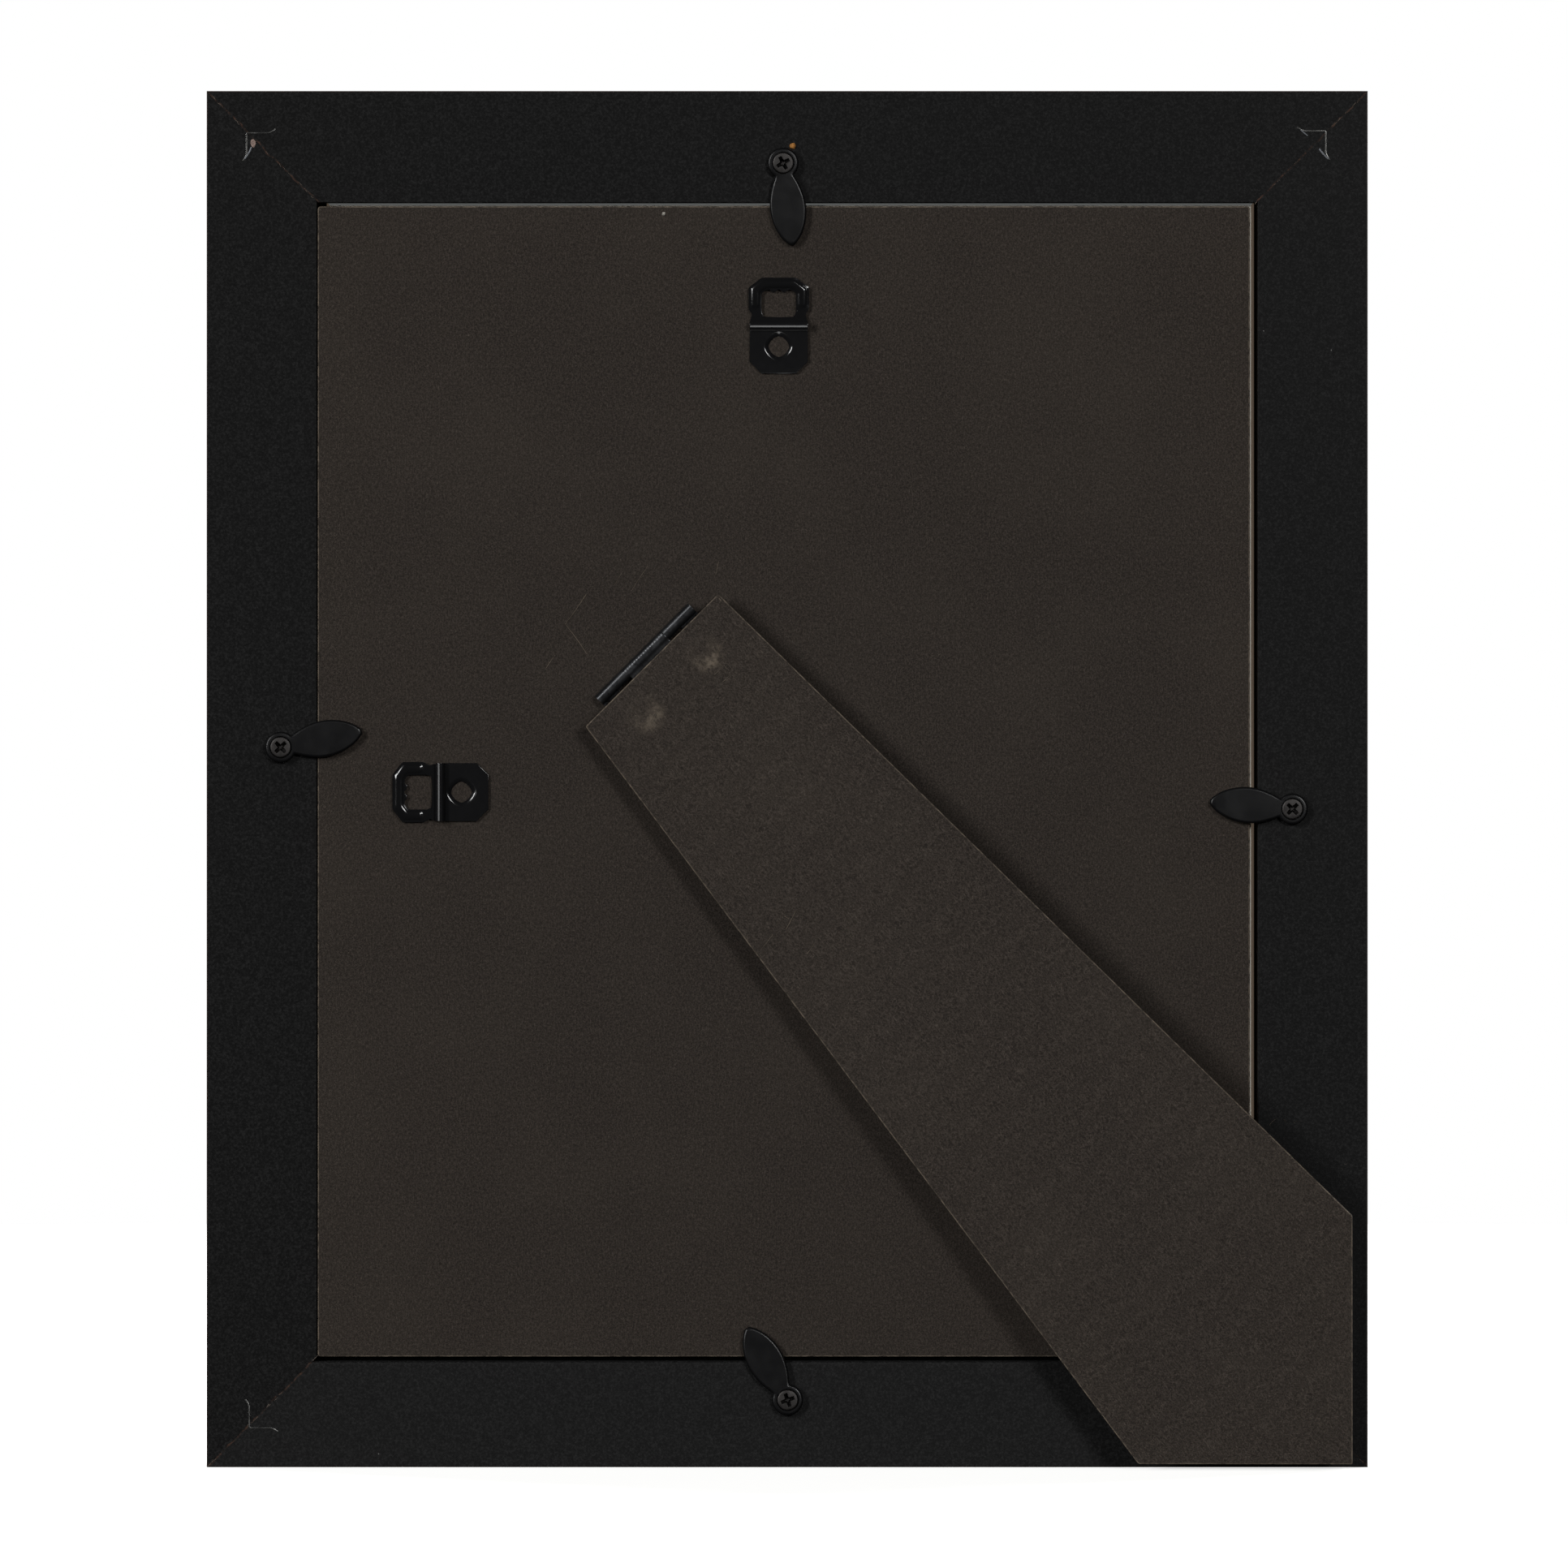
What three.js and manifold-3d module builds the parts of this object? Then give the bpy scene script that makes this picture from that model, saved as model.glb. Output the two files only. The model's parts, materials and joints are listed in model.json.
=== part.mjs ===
// A wooden picture frame for an 8 by 10 inch picture, with an easel leg for standing it upright or on its
// side. Millimetres, +Z up. The picture faces -Y and the back faces +Y. The origin is the middle of the
// bottom edge, halfway through the moulding. Left and right in names are as seen from the back.
import * as THREE from "three";
import { mergeVertices, toCreasedNormals } from "three/addons/utils/BufferGeometryUtils.js";
import Module from "manifold-3d";

const wasm = await Module();
wasm.setup();

// Moulding: four lengths of one section, mitred at the corners.
const FRAME_WIDTH = 256;
const FRAME_HEIGHT = 303.4;
const FRAME_DEPTH = 18;
const RAIL_BACK = 24.3; // flat back of the moulding, outer edge to rebate wall
const REBATE_LAP = 6; // how far the lip laps over the glass
const LIP_THICKNESS = 4; // lip at the sight edge
const SIGHT_FILLET = 2.2; // flat strip along the sight edge
const COVE_WIDTH = 7; // hollow between the sight strip and the face
const FACE_ROUND = 2.5; // rounded outer edge of the face
const BACK_CHAMFER = 0.4; // broken edges of the back
const MITRE_GAP = 0.04; // half of the hairline left at each mitre

// The pack that lies in the rebate, front to back. Each sheet's play is the rebate's size less its own, and
// it has slid towards one wall.
const GLASS_THICKNESS = 2;
const GLASS_SIDE_PLAY = 2.8;
const GLASS_SIDE_GAP = 0.7; // to the right wall
const GLASS_UPRIGHT_PLAY = 0.6;
const GLASS_TOP_GAP = 0.1;
const GLASS_ARRIS = 0.3; // ground edge of the glass
const INSERT_THICKNESS = 0.4;
const INSERT_MARGIN = 0.7; // inside the glass all round
const BOARD_THICKNESS = 3;
const BOARD_SIDE_PLAY = 1.9;
const BOARD_SIDE_GAP = 0.2; // to the left wall
const BOARD_UPRIGHT_PLAY = 1.2;
const BOARD_TOP_GAP = 0.4;
const BOARD_CORNER = 0.6;

// V-nails pressed into the back of each mitre.
const NAIL_INSET = 9.1; // outer edges of the frame to the point of the V
const NAIL_ARM = 6.4;
const NAIL_CURL = 0.7; // how far each arm's end flicks outwards
const NAIL_CURL_LENGTH = 1.3;
const NAIL_SHEET = 0.45;
const NAIL_DEPTH = 9;
const NAIL_CLEARANCE = 0.1;

// Turn buttons that hold the board in, and their screws.
const BUTTON_REACH = 18.2; // screw to tip
const BUTTON_BOSS = 3.43; // radius
const BUTTON_NECK = 2.05; // half width beside the boss
const BUTTON_NECK_AT = 2.8;
const BUTTON_FLARE = 0.5; // widening of each side at the neck, per millimetre of length
const BUTTON_LEAF = 4; // half width at the widest place
const BUTTON_LEAF_AT = 9.8;
const BUTTON_TIP = 0.5; // half width of the blunted point
const BUTTON_THICKNESS = 1.7; // leaf and boss alike
const BUTTON_EDGE = 0.4; // rounded edges
const SCREW_HEAD = 2.3; // radius
const SCREW_HEAD_HEIGHT = 1;
const SCREW_HEAD_DOME = 0.35;
const SCREW_HEAD_GAP = 0.25; // round the head, in the boss
const SCREW_SHANK = 1.45; // radius over the thread
const SCREW_LENGTH = 10; // under the head
const SCREW_POINT = 2.4;
const SCREW_CLEARANCE = 0.12;
const CROSS_SPAN = 2.9; // driver recess, tip to tip
const CROSS_SLOT = 0.7;
const CROSS_DEPTH = 0.75;
// Each button's place along its rail from the middle, its inset from the outer edge, and the turns of leaf
// and screw.
const BUTTONS = {
  top: { along: -0.9, inset: 16, turn: 6.3, screwTurn: 20 },
  right: { along: 6.6, inset: 16.7, turn: -4.9, screwTurn: 62 },
  bottom: { along: -0.1, inset: 14.9, turn: 29.4, screwTurn: 38 },
  left: { along: 7, inset: 16.4, turn: 11.1, screwTurn: 8 },
};

// Turned-down rims that clinch the stamped fittings into the board and the leg.
const RIM_MOUTH = 3.35; // radius of the dish in the sheet
const RIM_HOLE = 2.15;
const RIM_WALL = 0.45;
const RIM_DISH = 0.7; // depth of the dish
const RIM_DEPTH = 2; // below the face of the board
const RIM_CLEARANCE = 0.1;
const RIM_SQUARENESS = 1.5; // 1 is a diamond, 2 is a circle

// Hangers: a plate with a rolled edge, and a loop whose bottom bar swings in the roll.
const HANGER_SHEET = 0.6;
const HANGER_EDGE = 27; // board edge to the axis of the roll
const HANGER_TOP_OFFSET = 1.1; // off the middle of the board's top edge
const HANGER_LEFT_OFFSET = -3.1; // off the middle of the board's left edge
const PLATE_WIDTH = 12.84;
const PLATE_LENGTH = 10.65; // axis to the far edge
const PLATE_CHAMFER = 2.6;
const PLATE_RIM_AT = 4.7; // axis to the middle of the rim
const ROLL_RADIUS = 1.16; // outside
const ROLL_HEIGHT = 1; // axis above the board
const ROLL_BEND = 0.45; // bend from the plate up into the roll
const ROLL_LIP = 30; // degrees above the board where the roll ends
const BAR_CLEARANCE = 0.1;
const LOOP_REST_GAP = 0.1; // loop above the board
const LOOP_LENGTH = 10.5; // axis to the top edge
const LOOP_WIDTH = 13.3;
const LOOP_TOP = 7.3; // flat top between the cut corners
const LOOP_CORNER = 2.2; // height of the cut corners
const LOOP_NECK = 11.7; // width at the waist beside the roll
const LOOP_NECK_AT = 2.25;
const LOOP_SHOULDER_AT = 3.5;
const LOOP_BAR_WIDTH = 12.5;
const WINDOW_WIDTH = 7.6;
const WINDOW_BOTTOM = 1.6; // axis to the window
const WINDOW_TOP = 7.8;
const WINDOW_LOWER_ROUND = 0.9;
const WINDOW_UPPER_ROUND = 1.3;
const TOOTH_SPACING = 2.15;
const TOOTH_DEPTH = 0.55;
const BAR_FOOT = 0.3; // axis to where the loop's flat begins, under the bar
const BAR_STEP = 0.6; // axis to the step up from the flat to the bar
const RIB_INSET = 1.55; // outer edge to the middle of the rib
const RIB_WIDTH = 1.35;
const RIB_HEIGHT = 0.4;
const RIB_EDGE = 0.3;
const RIB_END = 4.5; // axis to the ends of the rib

// Easel hinge: two rolled leaves on a wire pin, set at 45 degrees so that the leg serves both ways up.
const HINGE_FROM_CENTRE_X = 30.4; // middle of the board to the middle of the pin
const HINGE_FROM_CENTRE_Z = 27.3;
const HINGE_ANGLE = -135; // degrees about +Y, from +Z to the way the leg points
const HINGE_LENGTH = 29;
const HINGE_SHEET = 0.55;
const HINGE_RADIUS = 1.4; // outside of the knuckles
const HINGE_MIDDLE = 11.8; // length of the leg leaf's knuckle
const HINGE_GAP = 0.3; // between knuckles
const HINGE_CURL_OPEN = 10; // degrees left open between each knuckle's end and its leaf's far side
const HINGE_SLOT_AT = 0.6; // pin to the windows beside the straps
const HINGE_STRAP = 4.8; // width of the straps at the ends
const HINGE_BODY_AT = 3.4; // pin to the flat of each leaf
const LEAF_LENGTH = 14.5; // pin to the far edge
const LEAF_CORNER = 2;
const LEAF_RIM_SPREAD = 18.4;
const LEAF_RIM_AT = 9.25;
const PIN_CLEARANCE = 0.1;

// Easel leg, a board cut with one foot edge for each way up.
const LEG_THICKNESS = 3;
const LEG_TOP_WIDTH = 41.4;
const LEG_TOP_AT = 2.05; // pin to the top edge
const LEG_CORNER = 0.8;
const LEG_OPEN = 2; // degrees that the leg stands open at rest
const FOOT_SIDE_MARGIN = 3.7; // inside the frame's side
const FOOT_BOTTOM_MARGIN = 1.1; // above the frame's bottom
const FOOT_SIDE_LENGTH = 54.6;
const FOOT_BOTTOM_LENGTH = 47;

// Faceting of curved faces.
const FINE = 32;
const COARSE = 16;
const OVERCUT = 1; // how far cutters run past the faces that they open

const REBATE_DEPTH = GLASS_THICKNESS + INSERT_THICKNESS + BOARD_THICKNESS;
const RAIL_FACE = RAIL_BACK + REBATE_LAP;
const BACK = FRAME_DEPTH / 2;
const FRONT = -FRAME_DEPTH / 2;
const REBATE_FLOOR = BACK - REBATE_DEPTH;
const REBATE_SIDE = FRAME_WIDTH / 2 - RAIL_BACK;
const REBATE_TOP = FRAME_HEIGHT - RAIL_BACK;
const REBATE_WIDTH = FRAME_WIDTH - 2 * RAIL_BACK;
const REBATE_HEIGHT = FRAME_HEIGHT - 2 * RAIL_BACK;
const GLASS_WIDTH = REBATE_WIDTH - GLASS_SIDE_PLAY;
const GLASS_HEIGHT = REBATE_HEIGHT - GLASS_UPRIGHT_PLAY;
const BOARD_WIDTH = REBATE_WIDTH - BOARD_SIDE_PLAY;
const BOARD_HEIGHT = REBATE_HEIGHT - BOARD_UPRIGHT_PLAY;
const BOARD_LEFT = REBATE_SIDE - BOARD_SIDE_GAP;
const BOARD_TOP = REBATE_TOP - BOARD_TOP_GAP;
const BOARD_CENTRE_X = BOARD_LEFT - BOARD_WIDTH / 2;
const BOARD_CENTRE_Z = BOARD_TOP - BOARD_HEIGHT / 2;
const GLASS_CENTRE_X = -REBATE_SIDE + GLASS_SIDE_GAP + GLASS_WIDTH / 2;
const GLASS_CENTRE_Z = REBATE_TOP - GLASS_TOP_GAP - GLASS_HEIGHT / 2;

const paint = (color, roughness, metalness) => {
  return new THREE.MeshStandardMaterial({ color, roughness, metalness });
};
const MATERIALS = {
  moulding: paint(0x1a1a1a, 0.6, 0),
  fibreboard: paint(0x2f2a26, 0.85, 0),
  enamel: paint(0x1c1c1f, 0.3, 0.4),
  buttonEnamel: paint(0x1d1d1f, 0.45, 0),
  steel: paint(0x55575b, 0.4, 1),
  darkSteel: paint(0x38393b, 0.45, 0.9),
  glass: paint(0xdcebe6, 0.05, 0),
  paper: paint(0xeae6dc, 0.9, 0),
};
MATERIALS.glass.transparent = true;
MATERIALS.glass.opacity = 0.35;

const rad = THREE.MathUtils.degToRad;
const v2 = (x, y) => new THREE.Vector2(x, y);

// The closed surface of a geometry as a solid that can be joined and cut.
function solidOf(geometry) {
  const bare = geometry.index ? geometry.clone() : mergeVertices(geometry);
  bare.deleteAttribute("normal");
  bare.deleteAttribute("uv");
  const merged = mergeVertices(bare, 1e-4);
  const vertProperties = new Float32Array(merged.attributes.position.array);
  const triVerts = new Uint32Array(merged.index.array);
  return new wasm.Manifold(new wasm.Mesh({ numProp: 3, vertProperties, triVerts }));
}

function geometryOf(solid) {
  const data = solid.getMesh();
  const geometry = new THREE.BufferGeometry();
  geometry.setAttribute("position", new THREE.BufferAttribute(new Float32Array(data.vertProperties), 3));
  geometry.setIndex(new THREE.BufferAttribute(new Uint32Array(data.triVerts), 1));
  return toCreasedNormals(geometry, rad(30));
}

function piece(name, solid, material) {
  const mesh = new THREE.Mesh(geometryOf(solid), material);
  mesh.name = name;
  return mesh;
}

function groupAt(x, y, z, turnDegrees) {
  const group = new THREE.Group();
  group.position.set(x, y, z);
  group.rotation.y = rad(turnDegrees);
  group.updateMatrix();
  return group;
}

// An outline in x and z, made solid from yLow to yHigh. With an edge, the faces are rounded off inside the
// outline.
function slab(shape, yLow, yHigh, edge = 0) {
  const geometry = new THREE.ExtrudeGeometry(shape, {
    depth: yHigh - yLow - 2 * edge,
    curveSegments: COARSE,
    bevelEnabled: edge > 0,
    bevelSize: edge,
    bevelThickness: edge,
    bevelOffset: -edge,
    bevelSegments: 2,
  });
  geometry.rotateX(Math.PI / 2);
  geometry.translate(0, yHigh - edge, 0);
  return solidOf(geometry);
}

// A section drawn in z and y, run along x for a length about the middle.
function lengthAlongX(section, length) {
  const settings = { depth: length, curveSegments: COARSE, bevelEnabled: false };
  const geometry = new THREE.ExtrudeGeometry(section, settings);
  geometry.rotateY(-Math.PI / 2);
  geometry.translate(length / 2, 0, 0);
  return geometry;
}

function runAlongX(section, length) {
  return solidOf(lengthAlongX(section, length));
}

// A profile of radius and height turned about y.
function turned(profile, segments = FINE) {
  return solidOf(new THREE.LatheGeometry(profile, segments));
}

function block(x0, x1, y0, y1, z0, z1) {
  const geometry = new THREE.BoxGeometry(x1 - x0, y1 - y0, z1 - z0);
  geometry.translate((x0 + x1) / 2, (y0 + y1) / 2, (z0 + z1) / 2);
  return solidOf(geometry);
}

function moved(solid, matrix) {
  return solidOf(geometryOf(solid).applyMatrix4(matrix));
}

function polygon(points) {
  return new THREE.Shape(points);
}

function rectangle(width, height, x = 0, z = 0) {
  const right = x + width / 2;
  const top = z + height / 2;
  return [v2(right - width, top - height), v2(right, top - height), v2(right, top), v2(right - width, top)];
}

// A polygon with each corner rounded by a curve that starts the given distance from it.
function roundedPolygon(points, radius) {
  const shape = new THREE.Shape();
  points.forEach((corner, i) => {
    const before = points[(i + points.length - 1) % points.length];
    const after = points[(i + 1) % points.length];
    const start = corner.clone().add(before.clone().sub(corner).setLength(radius));
    const end = corner.clone().add(after.clone().sub(corner).setLength(radius));
    if (i === 0) {
      shape.moveTo(start.x, start.y);
    } else {
      shape.lineTo(start.x, start.y);
    }
    shape.quadraticCurveTo(corner.x, corner.y, end.x, end.y);
  });
  shape.closePath();
  return shape;
}

function arcPoints(x, y, radius, fromDegrees, toDegrees, steps = COARSE) {
  return Array.from({ length: steps + 1 }, (_, i) => {
    const angle = rad(fromDegrees + ((toDegrees - fromDegrees) * i) / steps);
    return v2(x + radius * Math.cos(angle), y + radius * Math.sin(angle));
  });
}

// A path moved to its left by a distance, with its corners kept sharp.
function offsetPath(path, distance) {
  return path.map((point, i) => {
    const into = point.clone().sub(path[Math.max(i - 1, 0)]);
    const out = path[Math.min(i + 1, path.length - 1)].clone().sub(point);
    const a = (into.lengthSq() ? into : out).clone().normalize();
    const b = (out.lengthSq() ? out : into).clone().normalize();
    const normal = v2(-a.y - b.y, a.x + b.x).normalize();
    return point.clone().add(normal.multiplyScalar(distance / (normal.y * a.x - normal.x * a.y)));
  });
}

// The outline of a strip of sheet whose middle line follows a path.
function strip(path, thickness) {
  return polygon([...offsetPath(path, -thickness / 2), ...offsetPath(path, thickness / 2).reverse()]);
}

const mirrored = (points) => points.map((point) => v2(-point.x, point.y)).reverse();

// Moulding section in u, the distance in from the outer edge, and y.
function mouldingSection() {
  const lipFront = REBATE_FLOOR - LIP_THICKNESS;
  const coveEnd = RAIL_FACE - SIGHT_FILLET;
  const coveStart = coveEnd - COVE_WIDTH;
  const section = new THREE.Shape();
  section.moveTo(BACK_CHAMFER, BACK);
  section.lineTo(0, BACK - BACK_CHAMFER);
  section.lineTo(0, FRONT + FACE_ROUND);
  section.quadraticCurveTo(0, FRONT, FACE_ROUND, FRONT);
  section.lineTo(coveStart, FRONT);
  section.quadraticCurveTo(coveStart, lipFront, coveEnd, lipFront);
  section.lineTo(RAIL_FACE, lipFront);
  section.lineTo(RAIL_FACE, REBATE_FLOOR);
  section.lineTo(RAIL_BACK, REBATE_FLOOR);
  section.lineTo(RAIL_BACK, BACK - BACK_CHAMFER);
  section.lineTo(RAIL_BACK - BACK_CHAMFER, BACK);
  section.closePath();
  return section;
}

// V-nail outline in the distances from the two outer edges that meet at the corner.
function nailOutline(clearance) {
  const tip = NAIL_INSET + NAIL_ARM;
  const bend = tip - NAIL_CURL_LENGTH;
  const arm = [v2(tip + clearance, NAIL_INSET - NAIL_CURL), v2(bend, NAIL_INSET)];
  const other = arm.map((point) => v2(point.y, point.x)).reverse();
  return strip([...arm, v2(NAIL_INSET, NAIL_INSET), ...other], NAIL_SHEET + 2 * clearance);
}

// Moves both ends of a straight length back by each point's distance from the outer edge, which makes the
// mitres.
function mitredLength(length) {
  const geometry = lengthAlongX(mouldingSection(), length);
  const position = geometry.attributes.position;
  for (let i = 0; i < position.count; i += 1) {
    const side = Math.sign(position.getX(i));
    position.setX(i, side * (length / 2 - MITRE_GAP - position.getZ(i)));
  }
  return solidOf(geometry);
}

// One rail in its own frame: x along it, y to the back, z in from the outer edge.
function railSolid(length, button) {
  const slot = slab(nailOutline(NAIL_CLEARANCE), BACK - NAIL_DEPTH, BACK + OVERCUT);
  const nearEnd = new THREE.Matrix4().makeTranslation(-length / 2, 0, 0);
  const farEnd = new THREE.Matrix4().makeRotationY(rad(-90)).setPosition(length / 2, 0, 0);
  const bore = SCREW_SHANK + SCREW_CLEARANCE;
  const floor = BACK + buttonSeat() - SCREW_LENGTH - SCREW_CLEARANCE;
  const top = BACK + OVERCUT;
  const pilot = turned([v2(0, floor), v2(bore, floor), v2(bore, top), v2(0, top)], COARSE);
  const at = new THREE.Matrix4().makeTranslation(button.along, 0, button.inset);
  return mitredLength(length)
    .subtract(moved(slot, nearEnd))
    .subtract(moved(slot, farEnd))
    .subtract(moved(pilot, at));
}

// Height of the face inside the boss that the screw head bears on.
function buttonSeat() {
  return BUTTON_THICKNESS - SCREW_HEAD_HEIGHT + SCREW_HEAD_DOME;
}

// Turn button: a pointed leaf with bowed sides along z, and a round boss at the screw.
function buttonSolid() {
  const leaf = new THREE.Shape();
  leaf.moveTo(BUTTON_NECK, BUTTON_NECK_AT);
  const swell = (BUTTON_LEAF_AT - BUTTON_NECK_AT) / 3;
  leaf.bezierCurveTo(
    BUTTON_NECK + BUTTON_FLARE * swell, BUTTON_NECK_AT + swell,
    BUTTON_LEAF, BUTTON_LEAF_AT - swell,
    BUTTON_LEAF, BUTTON_LEAF_AT,
  );
  const taper = BUTTON_REACH - BUTTON_LEAF_AT;
  leaf.bezierCurveTo(
    BUTTON_LEAF, BUTTON_REACH - taper * 0.6,
    BUTTON_LEAF * 0.67, BUTTON_REACH - taper * 0.2,
    BUTTON_TIP, BUTTON_REACH,
  );
  const side = [v2(BUTTON_NECK, 0), ...leaf.getPoints(COARSE / 2)];
  const blade = slab(polygon([...side, ...mirrored(side)]), 0, BUTTON_THICKNESS, BUTTON_EDGE);
  const boss = turned([
    v2(0, 0),
    v2(BUTTON_BOSS, 0),
    v2(BUTTON_BOSS, BUTTON_THICKNESS - BUTTON_EDGE),
    v2(BUTTON_BOSS - BUTTON_EDGE, BUTTON_THICKNESS),
    v2(0, BUTTON_THICKNESS),
  ]);
  const wide = SCREW_HEAD + SCREW_HEAD_GAP;
  const bore = SCREW_SHANK + SCREW_CLEARANCE;
  const hole = turned([
    v2(0, -OVERCUT),
    v2(bore, -OVERCUT),
    v2(bore, buttonSeat()),
    v2(wide, buttonSeat()),
    v2(wide, BUTTON_THICKNESS + OVERCUT),
    v2(0, BUTTON_THICKNESS + OVERCUT),
  ]);
  return blade.add(boss).subtract(hole);
}

// Cross-head wood screw, point down, with its head's underside at y = 0.
function screwSolid() {
  const rim = SCREW_HEAD_HEIGHT - SCREW_HEAD_DOME;
  const dome = arcPoints(0, 0, 1, 0, 90, COARSE / 4).map((point) => {
    return v2(SCREW_HEAD * point.x, rim + SCREW_HEAD_DOME * point.y);
  });
  dome[dome.length - 1].x = 0;
  const body = turned([
    v2(0, -SCREW_LENGTH),
    v2(SCREW_SHANK, SCREW_POINT - SCREW_LENGTH),
    v2(SCREW_SHANK, 0),
    v2(SCREW_HEAD, 0),
    ...dome,
  ]);
  const floor = SCREW_HEAD_HEIGHT - CROSS_DEPTH;
  const top = SCREW_HEAD_HEIGHT + OVERCUT;
  const slotA = block(-CROSS_SPAN / 2, CROSS_SPAN / 2, floor, top, -CROSS_SLOT / 2, CROSS_SLOT / 2);
  const slotB = block(-CROSS_SLOT / 2, CROSS_SLOT / 2, floor, top, -CROSS_SPAN / 2, CROSS_SPAN / 2);
  return body.subtract(slotA.add(slotB));
}

// A profile turned about y, then pressed into the rounded diamond of the clinched rims.
function diamondTurned(profile) {
  const geometry = new THREE.LatheGeometry(profile, FINE);
  const position = geometry.attributes.position;
  for (let i = 0; i < position.count; i += 1) {
    const x = position.getX(i);
    const z = position.getZ(i);
    const r = Math.hypot(x, z);
    if (r > 0) {
      const sum = Math.abs(x / r) ** RIM_SQUARENESS + Math.abs(z / r) ** RIM_SQUARENESS;
      const reach = sum ** (1 / RIM_SQUARENESS);
      position.setX(i, x / reach);
      position.setZ(i, z / reach);
    }
  }
  return solidOf(geometry);
}

// The turned-down rim below a sheet that lies on y = 0, as metal, or grown by a clearance as the groove that
// it fills.
function rimSolid(sheet, growth) {
  const inner = RIM_HOLE - growth;
  const outer = RIM_HOLE + RIM_WALL + growth;
  const mouth = RIM_MOUTH + growth;
  const top = growth > 0 ? OVERCUT : sheet;
  return diamondTurned([
    v2(inner, -RIM_DEPTH - growth),
    v2(outer, -RIM_DEPTH - growth),
    v2(outer, -RIM_DISH - growth),
    v2(mouth, 0),
    v2(mouth, top),
    v2(inner, top),
    v2(inner, -RIM_DEPTH - growth),
  ]);
}

// What the dish and hole take out of a sheet of this thickness.
function rimOpening(sheet) {
  return diamondTurned([
    v2(0, -RIM_DEPTH - OVERCUT),
    v2(RIM_HOLE, -RIM_DEPTH - OVERCUT),
    v2(RIM_HOLE, sheet - RIM_DISH),
    v2(RIM_MOUTH, sheet),
    v2(RIM_MOUTH, sheet + OVERCUT),
    v2(0, sheet + OVERCUT),
  ]);
}

function withRim(plate, sheet, matrix) {
  return plate.add(moved(rimSolid(sheet, 0), matrix)).subtract(moved(rimOpening(sheet), matrix));
}

// Hanger frame: x along the roll, y off the board, z from the roll towards the loop's top.
const RIM_PLACE = new THREE.Matrix4().makeTranslation(0, 0, -PLATE_RIM_AT);

function hangerPlateSolid() {
  const middle = ROLL_RADIUS - HANGER_SHEET / 2;
  const level = HANGER_SHEET / 2;
  const path = [
    v2(-PLATE_LENGTH, level),
    ...arcPoints(-middle - ROLL_BEND, level + ROLL_BEND, ROLL_BEND, -90, 0, COARSE / 2),
    ...arcPoints(0, ROLL_HEIGHT, middle, 180, ROLL_LIP),
  ];
  const half = PLATE_WIDTH / 2;
  const corner = [
    v2(half - PLATE_CHAMFER - OVERCUT, -PLATE_LENGTH - OVERCUT),
    v2(half + OVERCUT, -PLATE_LENGTH - OVERCUT),
    v2(half + OVERCUT, -PLATE_LENGTH + PLATE_CHAMFER + OVERCUT),
  ];
  const sheet = runAlongX(strip(path, HANGER_SHEET), PLATE_WIDTH)
    .subtract(slab(polygon(corner), -OVERCUT, HANGER_SHEET + OVERCUT))
    .subtract(slab(polygon(mirrored(corner)), -OVERCUT, HANGER_SHEET + OVERCUT));
  return withRim(sheet, HANGER_SHEET, RIM_PLACE);
}

// The loop's window, with two teeth that keep a nail from sliding along its top.
function loopWindow() {
  const side = WINDOW_WIDTH / 2;
  const teeth = [1, 0.5, 0, -0.5, -1].map((step) => {
    const depth = step % 1 === 0 ? 0 : TOOTH_DEPTH;
    return v2(step * TOOTH_SPACING, WINDOW_TOP - depth);
  });
  const lower = WINDOW_LOWER_ROUND;
  const upper = WINDOW_UPPER_ROUND;
  return new THREE.Path([
    ...arcPoints(lower - side, WINDOW_BOTTOM + lower, lower, 180, 270, COARSE / 4),
    ...arcPoints(side - lower, WINDOW_BOTTOM + lower, lower, 270, 360, COARSE / 4),
    ...arcPoints(side - upper, WINDOW_TOP - upper, upper, 0, 90, COARSE / 4),
    ...teeth,
    ...arcPoints(upper - side, WINDOW_TOP - upper, upper, 90, 180, COARSE / 4),
  ]);
}

function hangerLoopSolid() {
  const low = LOOP_REST_GAP;
  const high = low + HANGER_SHEET;
  const rim = [
    v2(LOOP_WIDTH / 2, LOOP_SHOULDER_AT),
    v2(LOOP_WIDTH / 2, LOOP_LENGTH - LOOP_CORNER),
    v2(LOOP_TOP / 2, LOOP_LENGTH),
  ];
  const foot = [
    v2(LOOP_BAR_WIDTH / 2, BAR_FOOT),
    v2(LOOP_BAR_WIDTH / 2, ROLL_RADIUS),
    v2(LOOP_NECK / 2, LOOP_NECK_AT),
  ];
  const outline = polygon([...foot, ...rim, ...mirrored(rim), ...mirrored(foot)]);
  outline.holes.push(loopWindow());
  const bar = ROLL_RADIUS - HANGER_SHEET - BAR_CLEARANCE;
  const round = runAlongX(polygon(arcPoints(0, ROLL_HEIGHT, bar, 0, 360).slice(1)), LOOP_BAR_WIDTH);
  const step = polygon([
    v2(0, ROLL_HEIGHT - bar),
    v2(BAR_FOOT, low),
    v2(WINDOW_BOTTOM, low),
    v2(WINDOW_BOTTOM, high),
    v2(BAR_STEP, high),
    v2(bar, ROLL_HEIGHT),
    v2(0, ROLL_HEIGHT),
  ]);
  const ribPath = offsetPath([...rim, ...mirrored(rim)], RIB_INSET);
  ribPath[0].y = RIB_END;
  ribPath[ribPath.length - 1].y = RIB_END;
  const rib = slab(strip(ribPath, RIB_WIDTH), high - RIB_EDGE, high + RIB_HEIGHT, RIB_EDGE);
  return slab(outline, low, high).add(round).add(runAlongX(step, LOOP_BAR_WIDTH)).add(rib);
}

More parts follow.
